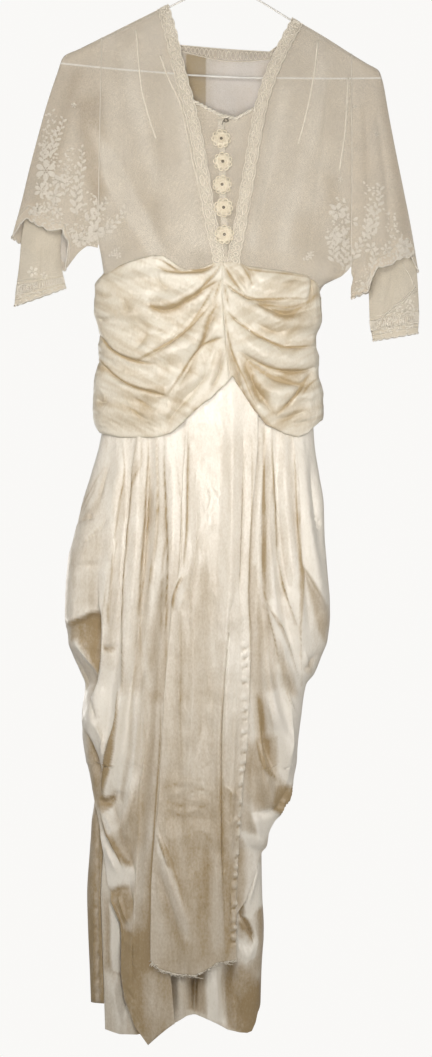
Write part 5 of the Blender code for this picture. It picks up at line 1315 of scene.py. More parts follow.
def net(name, light, deep, hole, bar=False):
    """Sheer net: threads round small cells, with more cloth where it is painted dense.

    With bar, a thin white line is painted into the net's colour where the hanger's bar lies behind it: a
    painted highlight for the lit bar seen through.
    """
    made = Finish(name, 0.75, Specular_IOR_Level=0.2, Sheen_Weight=0.3)
    cells = made.add("ShaderNodeTexVoronoi", {"feature": "DISTANCE_TO_EDGE"}, Vector=made.place,
                     Scale=NET_CELLS, Randomness=1.0).outputs[0]
    thread = made.map(cells, 0.06, 0.30, 1.0, 0.0)
    cloud = made.map(made.noise(30.0, 3.0), 0.35, 0.65, -0.05, 0.05)
    solid = made.sum(made.map(thread, 0.0, 1.0, hole, 0.97), cloud)
    made.link("Alpha", made.sum(solid, made.painted("dense")))
    speckle = made.map(made.noise(700.0, 2.0), 0.3, 0.7, -0.12, 0.18)
    drifts = made.map(made.noise(14.0, 3.0, (1.6, 1.6, 0.3)), 0.35, 0.7, 0.16, 0.4)
    share = made.sum(made.sum(drifts, made.painted("tone")), speckle)
    colour = made.blend(share, srgb(*light), srgb(*deep))
    # Painted highlight: the lit bar, blended into the net's colour as a thin white line
    if bar:
        x, _, z = made.add("ShaderNodeSeparateXYZ", Vector=made.place).outputs
        level = made.compute("MULTIPLY_ADD", x, BAR_SLOPE, z)
        bent = made.compute("MULTIPLY_ADD", made.compute("MULTIPLY", x, x), -BAR_CURVE, level)
        gap = made.compute("ABSOLUTE", made.compute("ADD", bent, BAR_LEVEL * MM))
        painted_bar_share = made.map(gap, *PAINTED_BAR_EDGE, PAINTED_BAR_SHARE, 0.0)
        colour = made.blend(painted_bar_share, colour, srgb(*PAINTED_BAR_COLOUR))
    made.link("Base Color", colour)
    made.link("Normal", made.bump(thread, distance=0.0002, strength=0.3))
    return made.material


def thread(name, light, deep):
    """Cotton thread, in lace, crochet and embroidery."""
    made = Finish(name, 0.7, Specular_IOR_Level=0.3, Sheen_Weight=0.3)
    twist = made.noise(900.0, 2.0)
    made.link("Base Color", made.blend(made.map(twist, 0.3, 0.7, 0.0, 1.0), srgb(*light), srgb(*deep)))
    made.link("Normal", made.bump(twist, distance=0.0003, strength=0.6))
    return made.material


def painted_wire():
    """White paint, a little worn."""
    made = Finish("painted_wire", 0.35, Specular_IOR_Level=0.5, Coat_Weight=0.3)
    wear = made.map(made.noise(30.0, 2.0), 0.4, 0.75, 0.0, 0.3)
    made.link("Base Color", made.blend(wear, srgb(250, 248, 244), srgb(222, 216, 206)))
    return made.material


def steel():
    """Dull steel of the hook and eye."""
    made = Finish("hook_steel", 0.4, Metallic=1.0)
    made.link("Base Color", made.blend(made.noise(400.0), srgb(150, 142, 128), srgb(104, 96, 84)))
    return made.material


def plain(name, colour):
    """The pale floor, which also glows a little where it is seen."""
    made = Finish(name, 0.9)
    made.shader.inputs["Emission Color"].default_value = srgb(*colour)
    seen = made.add("ShaderNodeLightPath").outputs["Is Camera Ray"]
    made.link("Emission Strength", made.map(seen, 0.0, 1.0, 0.0, FLOOR_GLOW))
    made.link("Base Color", made.blend(made.noise(3.0), srgb(*colour), srgb(*(c - 3 for c in colour))))
    return made.material


NET = net("ivory_net", (232, 223, 208), (190, 174, 150), 0.08, bar=True)
BACK_NET = net("back_net", (217, 210, 203), (164, 146, 114), 0.82)
SLEEVE_NET = net("sleeve_net", (223, 213, 197), (184, 169, 148), 0.42, bar=True)
CUFF_NET = net("cuff_net", (223, 214, 198), (195, 184, 163), 0.6)
LACE = net("ivory_lace", (238, 230, 216), (214, 203, 184), 0.25)
THREAD = thread("lace_thread", (240, 234, 222), (222, 213, 196))
EMBROIDERY = thread("white_embroidery", (224, 218, 207), (203, 195, 182))
CUFF_THREAD = thread("cuff_thread", (234, 228, 216), (213, 205, 191))
CROCHET = thread("crochet_thread", (248, 241, 224), (224, 210, 184))
HOLLOW_SHADE_THREAD = thread("button_hollow_shade", (128, 116, 98), (98, 88, 74))
GIRDLE_SATIN = satin("girdle_satin", (233, 226, 211), (184, 163, 128), 0.4)
SATIN = satin("ivory_satin", (245, 239, 228), (172, 149, 112), 0.37, 0.45)
UNDER_SATIN = satin("underskirt_satin", (248, 242, 230), (166, 142, 104), 0.34, 0.45)


def tube(line_points, radius, sides=6, loop=False):
    """Vertices and faces of a thread along points, in mm."""
    points = np.array(line_points, float)
    runs = np.roll(points, -1, 0) - np.roll(points, 1, 0) if loop else np.gradient(points, axis=0)
    runs /= np.linalg.norm(runs, axis=1, keepdims=True) + 1e-9
    up = np.where(np.abs(runs[:, 1:2]) > 0.9, np.array([[1.0, 0, 0]]), np.array([[0, 1.0, 0]]))
    first = np.cross(runs, up)
    first /= np.linalg.norm(first, axis=1, keepdims=True)
    second = np.cross(runs, first)
    turn = 2 * np.pi * np.arange(sides) / sides
    rings = (points[:, None] + radius * (np.cos(turn)[None, :, None] * first[:, None]
                                         + np.sin(turn)[None, :, None] * second[:, None]))
    count = len(points)
    faces = []
    for i in range(count if loop else count - 1):
        for j in range(sides):
            a, b = i * sides, (i + 1) % count * sides
            k = (j + 1) % sides
            faces.append((a + j, b + j, b + k, a + k))
    if not loop:
        faces.append(tuple(range(sides)))
        faces.append(tuple(range(len(rings) * sides - 1, (len(rings) - 1) * sides - 1, -1)))
    return rings.reshape(-1, 3), faces


class Work:
    """Many small shapes gathered in one mesh."""

    def __init__(self):
        self.vertices, self.faces = [], []

    def take(self, vertices, faces):
        """Add a shape, given in mm."""
        start = len(self.vertices)
        self.vertices += [tuple(v * MM for v in vertex) for vertex in vertices]
        self.faces += [tuple(start + i for i in face) for face in faces]

    def thread(self, line_points, radius, sides=6, loop=False):
        """Add a thread along points."""
        self.take(*tube(line_points, radius, sides, loop))

    def finish(self, name, finish):
        """The object with all the shapes."""
        mesh = bpy.data.meshes.new(name)
        mesh.from_pydata(self.vertices, [], self.faces)
        return add_mesh(name, mesh, finish)


# How far before the gown a ray starts, in metres
RAY_START = 0.3
# A leaf's outline and its middle: share of its length, share of its width
LEAF = (
    (0, 0), (0.25, 0.36), (0.6, 0.5), (0.9, 0.3), (1, 0), (0.9, -0.3), (0.6, -0.5), (0.25, -0.36), (0.5, 0))
LEAF_RIM_LIFT = 0.25


class Ground:
    """Lays small work on a piece: finds the height of its surface under a place of the front or back."""

    def __init__(self, *pieces, back=False):
        bpy.context.view_layer.update()
        graph = bpy.context.evaluated_depsgraph_get()
        self.trees = [BVHTree.FromObject(piece, graph) for piece in pieces]
        self.way = -1.0 if back else 1.0

    def depth(self, x, down):
        """y of the outer face there, or None beside it."""
        start = Vector((x * MM, -RAY_START * self.way, -down * MM))
        hits = [tree.ray_cast(start, Vector((0, self.way, 0)))[0] for tree in self.trees]
        found = [hit.y / MM for hit in hits if hit]
        return min(found, key=lambda y: y * self.way) if found else None

    def lay(self, places, lift):
        """Points of a flat shape, raised from the surface, or None if one lies beside it."""
        laid = []
        for (x, down), high in zip(places, np.broadcast_to(lift, len(places))):
            y = self.depth(x, down)
            if y is None:
                return None
            laid.append((x, y - self.way * high, -down))
        return laid


def add_leaf(work, ground, x, down, angle, length, width, lift=1.1):
    """A padded leaf or petal, from its stem end at an angle clockwise from the viewer's right."""
    cos, sin = math.cos(angle), math.sin(angle)
    places = [(x + a * length * cos - b * width * sin, down + a * length * sin + b * width * cos)
              for a, b in LEAF]
    rim = len(LEAF) - 1
    laid = ground.lay(places, (LEAF_RIM_LIFT,) * rim + (lift,))
    if laid:
        work.take(laid, [(i, (i + 1) % rim, rim) if ground.way < 0 else ((i + 1) % rim, i, rim)
                         for i in range(rim)])


def add_flower(work, ground, x, down, size, petals, turn=0.0):
    """Petals round a small ring of thread."""
    for i in range(petals):
        angle = turn + 2 * math.pi * i / petals
        add_leaf(work, ground, x + 0.18 * size * math.cos(angle), down + 0.18 * size * math.sin(angle),
                 angle, 0.82 * size, 0.52 * size)
    heart = [(x + 0.15 * size * math.cos(a), down + 0.15 * size * math.sin(a))
             for a in np.arange(8) * math.pi / 4]
    add_thread(work, ground, heart, 0.5, 1.3, loop=True)


def add_thread(work, ground, places, radius, lift=0.5, loop=False):
    """A thread that lies along places on the ground."""
    laid = ground.lay(places, lift)
    if laid:
        work.thread(laid, radius, 5, loop)


def on_grid(points, i, j):
    """A point between those of a grid; the first index wraps round."""
    low, row = math.floor(i), min(math.floor(j), points.shape[1] - 2)
    across, along = i - low, j - row
    a, b = points[low % len(points)], points[(low + 1) % len(points)]
    return mix(mix(a[row], b[row], across), mix(a[row + 1], b[row + 1], across), along)


def add_loops(work, points, columns, row, half, tall, radius):
    """A row of thread loops on a band: at columns, about a row, half wide and tall in grid steps."""
    for i in columns:
        loop = [on_grid(points, i + half * math.sin(a), row + tall * math.cos(a))
                for a in np.arange(10) * math.pi / 5]
        work.thread(loop, radius, 5, loop=True)


# Sprays: distance of the leaves as a share of their size, their angle to the stem and the stem's bend in
# radians, and how much smaller they are at the tip
LEAF_PITCH = 0.42
LEAF_SPREAD = 0.75
SPRAY_BEND = 0.35
SPRAY_TAPER = 0.45


def add_spray(work, ground, x, down, angle, length, size):
    """A stem with leaves on both sides, smaller towards its tip."""
    x, down = from_photo((x, down))[0]
    length, size = length * PIXEL, size * PIXEL
    count = max(3, round(length / (LEAF_PITCH * size)))
    stem = []
    for i in range(count + 1):
        share = i / count
        heading = math.radians(angle) + SPRAY_BEND * math.sin(3.4 * share)
        stem.append((x, down))
        scale = size * (1 - SPRAY_TAPER * share) * (1 + 0.15 * math.sin(7 * i + x))
        spread = LEAF_SPREAD if i % 2 else -LEAF_SPREAD
        add_leaf(work, ground, x, down, heading + spread, scale, 0.5 * scale)
        x += length / count * math.cos(heading)
        down += length / count * math.sin(heading)
    add_thread(work, ground, stem, 0.45, 0.4)


def add_bloom(work, ground, x, down, size):
    """A flower at a place in pixels; a large one has six petals."""
    x, down = from_photo((x, down))[0]
    add_flower(work, ground, x, down, size * PIXEL, 6 if size > 7 else 5, x)


def add_fillings(work, ground, zones, first_seed):
    """Small padded petals and stitches, one on each cell of each zone, all a little out of place."""
    for seed, (pitch, size, *outline) in enumerate(zones, first_seed):
        rng = np.random.default_rng(seed)
        corners = from_photo(outline)
        low, high = corners.min(0), corners.max(0)
        cells = np.array([(x, down) for x in np.arange(low[0], high[0], pitch)
                          for down in np.arange(low[1], high[1], pitch)])
        cells = cells + rng.uniform(-0.45, 0.45, cells.shape) * pitch
        kept = shaded(cells[:, 0], cells[:, 1], ((1.0, 0.6, *outline),)) > 0.5
        for x, down in cells[kept]:
            angle, scale = rng.uniform(0, 2 * math.pi), size * rng.uniform(0.6, 1.25)
            add_leaf(work, ground, x, down, angle, scale, scale * rng.uniform(0.45, 0.8), 0.9)


# Embroidered sprays in pixels: stem's foot x and y, angle clockwise from the right, length, leaf size
SPRAYS_L = (
    (50, 157, -82, 40, 8), (44, 162, -98, 22, 6), (77, 214, -98, 66, 9), (66, 196, -100, 30, 7),
    (94, 242, -98, 44, 9), (104, 236, -62, 34, 8), (88, 222, -60, 28, 8), (30, 216, -35, 30, 6),
    (70, 232, 30, 26, 6), (110, 258, -60, 12, 4))
BLOOMS_L = (
    (46, 171, 11), (60, 182, 8), (42, 191, 8), (55, 197, 8), (96, 232, 9), (80, 240, 8), (38, 209, 6),
    (58, 213, 6), (74, 106, 3), (118, 256, 4))
SPRAYS_R = (
    (371, 240, -92, 54, 9), (366, 236, -96, 30, 7), (346, 274, -104, 42, 8), (352, 262, -76, 40, 8),
    (334, 262, -100, 36, 7), (410, 264, -122, 26, 7), (396, 262, -80, 22, 6), (372, 268, -90, 20, 6),
    (304, 262, -60, 12, 4))
BLOOMS_R = (
    (337, 212, 9), (344, 238, 10), (331, 240, 7), (352, 222, 7), (404, 246, 9), (414, 256, 6),
    (371, 249, 7), (366, 288, 8), (376, 135, 3), (355, 107, 2.5), (340, 180, 3), (310, 256, 4),
    (386, 250, 6))
CUFF_BLOOMS = ((33, 272, 6), (44, 276, 4), (386, 326, 5), (411, 312, 5))
# Zones filled with small stitches, in pixels: distance apart and size in mm, then the outline
FILLINGS_L = (
    (5.4, 5.0, 44, 112, 55, 108, 60, 150, 63, 172, 60, 200, 50, 210, 40, 204, 38, 180, 40, 150),
    (5.0, 4.4, 64, 150, 71, 146, 80, 178, 84, 202, 96, 236, 88, 246, 76, 220, 68, 184),
    (5.2, 4.2, 88, 188, 95, 196, 106, 212, 114, 222, 108, 226, 98, 220, 91, 206),
    (4.6, 4.0, 30, 205, 44, 212, 56, 210, 66, 222, 80, 226, 96, 244, 84, 252, 66, 236, 52, 230, 36,
     224, 26, 214))
FILLINGS_R = (
    (5.2, 4.6, 364, 184, 380, 186, 379, 214, 374, 240, 364, 236, 366, 206),
    (5.4, 4.8, 332, 200, 346, 200, 352, 222, 353, 262, 340, 268, 330, 256, 328, 230),
    (5.6, 4.6, 384, 206, 392, 210, 402, 236, 414, 246, 414, 258, 402, 262, 390, 248),
    (4.6, 4.0, 354, 282, 366, 264, 384, 256, 402, 250, 414, 248, 414, 256, 402, 262, 386, 270, 374,
     276, 366, 290, 354, 296))
CUFF_FILLINGS = (
    (4.2, 3.8, 17, 284, 40, 284, 62, 281, 64, 287, 50, 291, 42, 306, 17, 303),
    (3.8, 4.0, 378, 324, 396, 309, 416, 292, 417, 328, 396, 333, 380, 337))
CUFF_LINES = (
    (402, 264, 409, 275, 415, 288), (375, 323, 396, 305, 416, 288), (376, 325, 397, 307, 417, 290),
    (392, 327, 394, 321, 400, 319, 405, 323, 405, 328))
# Stitched lines on the net, in pixels: the tucks over the shoulders and the cords beside the lace
TUCKS = (
    (136, 30, 141, 85, 148, 115, 156, 140), (318, 40, 313, 80, 306, 115, 298, 145),
    (348, 78, 345, 130, 339, 172), (160, 56, 168, 78, 180, 104, 186, 130, 193, 163, 203, 205, 209, 226),
    (283, 66, 276, 90, 264, 118, 256, 148, 247, 184, 238, 214, 233, 236))
TUCK_RADIUS = 1.15
TUCK_LIFT = -0.2
# First seeds of the fillings on the sleeves and on the cuffs
SLEEVE_SEED = 40
CUFF_SEED = 50


def add_embroidery(pieces):
    """White sprays on the sleeves and a band on the cuffs, in front and behind."""
    for side, fillings, sprays, blooms in (
            ("l", FILLINGS_L, SPRAYS_L, BLOOMS_L), ("r", FILLINGS_R, SPRAYS_R, BLOOMS_R)):
        for face, back, under in (("front", False, "net_front_" + side), ("back", True, "net_back")):
            ground = Ground(pieces["sleeve_" + side], pieces[under], back=back)
            work = Work()
            add_fillings(work, ground, fillings, SLEEVE_SEED)
            for spray in sprays:
                add_spray(work, ground, *spray)
            for bloom in blooms:
                add_bloom(work, ground, *bloom)
            work.finish(f"embroidery_{face}_{side}", EMBROIDERY)
        for face, back in (("front", False), ("back", True)):
            ground = Ground(pieces["undersleeve_" + side], back=back)
            work = Work()
            add_fillings(work, ground, CUFF_FILLINGS, CUFF_SEED)
            for bloom in CUFF_BLOOMS:
                add_bloom(work, ground, *bloom)
            for path in CUFF_LINES:
                add_thread(work, ground, curve_through(from_photo(path), 6), 0.7, 0.3)
            work.finish(f"cuff_embroidery_{face}_{side}", CUFF_THREAD)


def add_armhole_seams():
    """A corded seam up the front of each armhole and down behind it."""
    v, s = np.linspace(0.05, 7.3, 60)[None], np.linspace(0.004, 0.66, 60)[None]
    for side, table, across, away in (("l", FRONT_L, 0.0, -1), ("r", FRONT_R, 1.0, 1)):
        work = Work()
        front = bodice_front(table, np.zeros(v.shape), v)[0]
        behind = bodice_back(np.full(s.shape, across), s)[0]
        for edge, way in ((front, -1), (behind, 1)):
            work.thread(edge + (away * 0.5, way * 0.4, 0), 0.7, 6)
        work.finish("armhole_seam_" + side, EMBROIDERY)


def add_tucks(pieces):
    """The stitched lines over the shoulders and beside the lace."""
    ground = Ground(pieces["net_front_l"], pieces["net_front_r"], pieces["sleeve_l"], pieces["sleeve_r"])
    work = Work()
    for path in TUCKS:
        add_thread(work, ground, curve_through(from_photo(path), 8), TUCK_RADIUS, TUCK_LIFT)
    work.finish("tucks", THREAD)


# Yellowed and doubled places of the net, and painted highlights along its soft folds, as zones of tone
NET_SHADES = (
    (-0.5, 3, 88, 126, 96, 128, 122, 170, 148, 215, 163, 252, 150, 256, 130, 225, 108, 185),
    (-0.35, 5, 100, 150, 110, 160, 118, 205, 112, 240, 104, 240),
    (-0.3, 4, 168, 62, 178, 66, 192, 120, 206, 200, 210, 250, 190, 250, 186, 180, 176, 110),
    (-0.25, 4, 120, 55, 134, 48, 146, 110, 160, 180, 158, 200, 140, 150, 128, 100),
    (-0.3, 4, 318, 60, 328, 66, 318, 130, 300, 190, 285, 250, 276, 250, 292, 190, 308, 130),
    (-0.25, 4, 282, 90, 290, 90, 275, 160, 262, 220, 256, 250, 246, 250, 258, 190, 270, 130),
    (0.45, 5, 78, 100, 100, 96, 106, 150, 108, 195, 92, 200, 82, 160),
    (0.35, 6, 90, 180, 112, 186, 120, 226, 100, 226), (0.3, 5, 324, 176, 336, 180, 338, 210, 326, 214),
    (0.25, 8, 130, 190, 158, 200, 170, 250, 130, 250), (0.2, 8, 290, 220, 320, 210, 330, 262, 296, 260),
    (0.3, 4, 74, 70, 82, 70, 60, 160, 40, 210, 30, 214, 50, 140),
    (0.12, 8, 50, 70, 96, 70, 100, 200, 96, 236, 30, 214, 14, 206),
    (0.3, 4, 376, 72, 384, 80, 406, 200, 414, 250, 404, 250, 388, 150))
# A darker stripe of painted shade down the back, as of a shadowed overlap of its closing, and paler net
# beside it
BACK_NET_SHADES = (
    (0.9, 0.8, 187, 53, 206, 57, 206, 122, 187, 122), (0.3, 0.8, 187, 53, 206, 57, 206, 262, 187, 262),
    (-0.3, 5, 210, 62, 262, 60, 256, 112, 212, 112))


def wrinkled(points, amount=1.0, seed=7):
    """Net hangs in faint soft folds."""
    x, down = points[..., 0], -points[..., 2]
    height = crease_height(x, down, NET_CREASES) + 0.5 * crumple(x, down, 16, 34, seed)
    return moved_out(points, height * amount)


def add_front(side, table):
    """One net front, with faint folds that stop at its seams and a denser edge along the V."""
    columns, rows = FRONT_GRID
    u, v = grid(np.linspace(0, 1, columns), np.linspace(0, table[-1][0], rows))
    held = smooth(0, 0.25, u) * smooth(1, 0.85, u) * smooth(0.5, 2, v) * smooth(9.5, 8, v)
    points = wrinkled(bodice_front(table, u, v), held)
    edge = smooth(0.965, 1, u) * 0.3
    tone = shaded(points[..., 0], -points[..., 2], NET_SHADES)
    piece = add_cloth("net_front_" + side, points, NET, tone=tone, dense=edge)
    return stands_for(piece, "net", "bodice_front_" + side)


def add_bodice():
    """The two fronts and the back."""
    pieces = {"net_front_l": add_front("l", FRONT_L), "net_front_r": add_front("r", FRONT_R)}
    u, s = unit_grid(*BACK_GRID)
    held = smooth(0, 0.1, u) * smooth(1, 0.9, u) * smooth(0.1, 0.3, s) * smooth(0.9, 0.75, s)
    points = wrinkled(bodice_back(u, s), held, seed=11)
    tone = shaded(points[..., 0], -points[..., 2], BACK_NET_SHADES)
    pieces["net_back"] = stands_for(add_cloth("net_back", points, BACK_NET, tone=tone), "net", "bodice_back")
    return pieces


def scallops(points, count, deep):
    """The same tube, with its last rows drawn out in scallops."""
    across, along = points.shape[:2]
    wave = deep * np.abs(np.sin(np.pi * count * np.arange(across) / across))
    run = points[:, -1] - points[:, -4]
    run /= np.linalg.norm(run, axis=-1, keepdims=True)
    ramp = smooth(along - 8, along - 1, np.arange(along))
    return points + run[:, None] * (wave[:, None] * ramp)[..., None]


# Scalloped hems of both tiers: number of scallops and their depth in mm
SLEEVE_HEM = (22, 3.0)
CUFF_HEM = (18, 1.6)
# Denser cloth at the hems: how much denser, and the rows between which it gets so
SLEEVE_DENSE = (0.28, 7.35, 7.6)
CUFF_DENSE = (0.3, 2.9, 3.1)
# Rows of the under-sleeve's grid with a cord, and with the loops between two cords
CUFF_CORD_ROWS = (42, 55)
CUFF_LOOP_ROW = 48.5


def swollen(points, amount):
    """A closed tube's points, moved away from its middle in depth."""
    moved = points.copy()
    moved[..., 1] += amount * np.sign(points[..., 1])
    return moved


def folded(points, flat, held=1.0):
    """A flattened tube with the folds of the net, none where it is thinner than the flat depth."""
    x, down = points[..., 0], -points[..., 2]
    deep = np.clip(np.abs(points[..., 1]) / flat, 0, 1)
    made = points.copy()
    made[..., 1] += np.sign(points[..., 1]) * deep * crease_height(x, down, NET_CREASES) * held
    return made


def add_sleeve(side, table, front_cut, away):
    """The short net sleeve, with a denser scalloped hem and two cords round it."""
    columns, rows = SLEEVE_GRID
    arm = np.linspace(0, table[-1][0], rows)
    points = tube_points(lambda *at: sleeve(table, *at, front_cut), arm, columns)
    points[:, 0, 0] += away * 1.5 * SEAM_GAP
    t = np.broadcast_to(arm, points.shape[:2])
    points = folded(points, flat=8, held=smooth(0.4, 2, t))
    tone = shaded(points[..., 0], -points[..., 2], NET_SHADES)
    points = scallops(points, *SLEEVE_HEM)
    amount, *hem_rows = SLEEVE_DENSE
    dense = amount * smooth(*hem_rows, t)
    made = add_cloth("sleeve_net_" + side, points, SLEEVE_NET, closed=True, tone=tone, dense=dense)
    made = stands_for(made, "net", "sleeve_" + side)
    work = Work()
    work.thread(points[:, -1], 1.1, 6, loop=True)
    work.thread(swollen(points, 0.7)[:, -6], 0.6, 5, loop=True)
    work.finish("sleeve_cord_" + side, EMBROIDERY)
    return made


def add_undersleeve(side, table):
    """The lower tier, with its lace: a corded hem and a row of loops between two cords."""
    columns, rows = UNDERSLEEVE_GRID
    arm = np.linspace(0, table[-1][0], rows)
    points = folded(tube_points(lambda *at: undersleeve(table, *at), arm, columns), flat=6)
    points = scallops(points, *CUFF_HEM)
    amount, *hem_rows = CUFF_DENSE
    dense = amount * smooth(*hem_rows, np.broadcast_to(arm, points.shape[:2]))
    made = add_cloth("undersleeve_net_" + side, points, CUFF_NET, closed=True, dense=dense)
    made = stands_for(made, "net", "undersleeve_" + side)
    work = Work()
    outer = swollen(points, 0.7)
    work.thread(points[:, -1], 0.9, 6, loop=True)
    for row in CUFF_CORD_ROWS:
        work.thread(outer[:, row], 0.55, 5, loop=True)
    add_loops(work, outer, np.arange(0, len(outer), 1.0), CUFF_LOOP_ROW, half=0.42, tall=4.2, radius=0.5)
    work.finish("cuff_lace_" + side, CUFF_THREAD)
    return made


def add_sleeves():
    """Both tiers of both sleeves."""
    left_cut, right_cut = SLEEVE_FRONT_CUT
    return {
        "sleeve_l": add_sleeve("l", SLEEVE_L, left_cut, -1),
        "sleeve_r": add_sleeve("r", SLEEVE_R, right_cut, 1),
        "undersleeve_l": add_undersleeve("l", UNDERSLEEVE_L),
        "undersleeve_r": add_undersleeve("r", UNDERSLEEVE_R)}


# The chemisette's net runs on a little below its own depth
CHEMISETTE_TUCK_IN = 1.07
# How far the lace of the tab lies over the net
TAB_LIFT = (NET_WALL + LACE_WALL) / 2 + SEAM_GAP
# The chemisette's top cord: two strands twisted round each other
STRAND_TWIST = 1.6
STRAND_OUT = 1.3
STRAND_RADIUS = 1.5


def add_chemisette():
    """The net inset behind the V, the twisted cord along its top, and the tab down its middle."""
    u, s = unit_grid(*CHEMISETTE_GRID)
    points = chemisette(u, s * CHEMISETTE_TUCK_IN)
    made = add_cloth("chemisette_net", points, NET)
    stands_for(made, "net", "chemisette")
    top = points[3:-3, 0] + (0, -1.0, 0)
    work = Work()
    for start in (0, math.pi):
        strand = []
        for i in np.arange(len(top) * 6) / 6:
            turn = STRAND_TWIST * i + start
            middle = mix(top[int(i)], top[min(int(i) + 1, len(top) - 1)], i % 1)
            strand.append(middle + (0, -STRAND_OUT * math.cos(turn), STRAND_OUT * math.sin(turn)))
        work.thread(strand, STRAND_RADIUS, 6)
    work.finish("chemisette_cord", THREAD)
    columns, rows = TAB_GRID
    x, down = grid(np.linspace(-TAB_HALF, TAB_HALF, columns), np.linspace(TAB_TOP, LACE_BOTTOM, rows))
    tab = stack(x + line(BUTTONS_LINE, down), -chemisette_depth(down) - TAB_LIFT, down)
    tab[..., 1] += 0.35 * np.cos(np.pi * x / TAB_HALF) * np.sin(down * 2.2)
    tab_piece = stands_for(add_cloth("button_band", tab, LACE, TAB_THICK), "lace", "button_tab")
    return {"chemisette": made, "tab": tab_piece}


# A button, in mm: the padded disc's profile as radius and height, its coils as radius, height and
# thickness, the dark ring of painted shade round its hollow eye, and the middles of its loops
BUTTON_PAD = ((9.6, 0.4), (10.2, 1.4), (9.0, 3.2), (6.4, 4.2), (4.0, 3.9), (2.0, 2.3), (0.8, 1.5))
BUTTON_COILS = ((2.6, 3.4, 0.62), (4.4, 4.3, 0.7), (6.3, 4.5, 0.7))
BUTTON_EYE = (1.25, 3.3, 0.9)
BUTTON_LOOPS = 9
BUTTON_REACH = 9.6


def button_place(x, down, extra):
    """A function that turns radius, angle and height on a button into a point of the gown."""
    slope = float(chemisette_depth(down + 5) - chemisette_depth(down - 5)) / 10
    tilt = math.atan(slope)
    base = float(chemisette_depth(down)) + TAB_LIFT + LACE_WALL / 2 + 0.4 + extra

    def place(radius, angle, high):
        up = radius * math.sin(angle)
        return (x + radius * math.cos(angle), -base - high * math.cos(tilt) + up * math.sin(tilt),
                -down + up * math.cos(tilt) + high * math.sin(tilt))

    return place


def turned_shape(place, profile, turns):
    """Vertices and faces of a profile turned round a button's middle."""
    vertices = [place(radius, angle, high) for radius, high in profile for angle in turns]
    count = len(turns)
    faces = []
    for low in range(0, (len(profile) - 1) * count, count):
        for j in range(count):
            after = (j + 1) % count
            faces.append((low + j, low + count + j, low + count + after, low + after))
    faces.append(tuple(range(count)))
    faces.append(tuple(range(len(vertices) - 1, len(vertices) - count - 1, -1)))
    return vertices, faces


def add_buttons():
    """Crochet rosettes: a padded disc, coils of thread, a ring of loops and a dark ring of painted shade in
    the dimple.
    """
    hollow_shades = Work()
    turns = np.linspace(0, 2 * math.pi, 49)[:-1]
    for number, (x, down, extra) in enumerate(BUTTONS, 1):
        work = Work()
        place = button_place(x, down, extra)
        work.take(*turned_shape(place, BUTTON_PAD, turns))
        for radius, high, thick in BUTTON_COILS:
            coil = [place(radius + 0.25 * math.sin(14 * a), a, high + 0.25 * math.cos(14 * a)) for a in turns]
            work.thread(coil, thick, 6, loop=True)
        # A dark ring of thread: painted shade in the button's hollow middle
        radius, high, thick = BUTTON_EYE
        hollow_shades.thread([place(radius, a, high) for a in turns[::6]], thick, 5, loop=True)
        for petal in range(BUTTON_LOOPS):
            middle = 2 * math.pi * petal / BUTTON_LOOPS + x
            loop = []
            for a in np.linspace(0, 2 * math.pi, 15)[:-1]:
                out = BUTTON_REACH + 2.4 * math.cos(a)
                loop.append(place(out, middle + 0.29 * math.sin(a), 3.0 - 0.5 * (out - 9)))
            work.thread(loop, 0.95, 6, loop=True)
        piece = work.finish(f"crochet_button_{number}", CROCHET)
        stands_for(piece, "crochet", f"button_{number}")
    hollow_shades.finish("button_hollow_shades", HOLLOW_SHADE_THREAD)


# The hook and eye: x and down of the eye's middle, and the hook's bent wire from there
HOOK_MIDDLE = (5.0, 266.0)
HOOK_WIRE = ((-5, 6), (-3.4, 1), (-1, -2), (2.6, -1.4), (3.2, 1.6))


def add_hook(ground):
    """The hook and its eye at the top of the tab."""
    work = Work()
    x, down = HOOK_MIDDLE
    eye = [(x + 2.2 * math.cos(a), down + 2.2 * math.sin(a)) for a in np.arange(12) * math.pi / 6]
    add_thread(work, ground, eye, 0.5, 1.4, loop=True)
    hook = np.array(HOOK_WIRE) + HOOK_MIDDLE
    add_thread(work, ground, curve_through(hook, 4), 0.5, 1.9)
    work.finish("hook_and_eye", steel())


# Rings of a scallop: share along it, row across the band, half length as a share of the scallop, half
# width in rows, radius of the thread
BOBBIN_RINGS = ((0.5, 2.9, 0.30, 1.5, 0.7), (0.02, 5.6, 0.16, 1.1, 0.6), (0.5, 6.3, 0.2, 0.8, 0.5))


def add_bobbin_lace(work, band, count, steps):
    """An oval and two small rings in each scallop, with a waved thread between them."""
    pitch = (steps - 1) / count
    turns = np.arange(12) * math.pi / 6
    for i in range(count):
        for middle, across, share, wide, thick in BOBBIN_RINGS:
            tall = share * pitch
            at = min((i + middle) * pitch, steps - 2 - tall)
            ring_line = [on_grid(band, across + wide * math.cos(a), max(at, tall) + tall * math.sin(a))
                         for a in turns]
            work.thread(ring_line, thick, 5, loop=True)
    waved = [on_grid(band, 4.6 + 1.2 * math.sin(2 * math.pi * row / pitch), row)
             for row in np.arange(0, steps - 1, 0.5)]
    work.thread(waved, 0.55, 5)


def add_neck_lace():
    """The lace band round the back of the neck, with cords and loops on both of its faces."""
    columns, rows = NECK_GRID
    u, s = grid(np.linspace(*NECK_SPAN, columns), np.linspace(0, NECK_DEEP, rows))
    s = s * (0.5 + 0.7 * np.sin(np.pi * np.linspace(0, 1, columns)[:, None] ** 1.1) ** 1.5)
    band = moved_out(bodice_back(u, s), LACE_LIFT)
    made = stands_for(add_cloth("neck_lace", band, LACE, LACE_THICK), "lace", "neck_band")
    for label, face in (("outside", LACE_LIFT + 0.5), ("inside", -0.8)):
        work = Work()
        outer = moved_out(bodice_back(u, s), face)
        for row in (0, -1):
            work.thread(outer[:, row], 0.7, 5)
        add_loops(work, outer, np.arange(2, 88, 3.4), row=3.5, half=1.4, tall=2.6, radius=0.55)
        work.finish("neck_lace_" + label, THREAD)
    return made


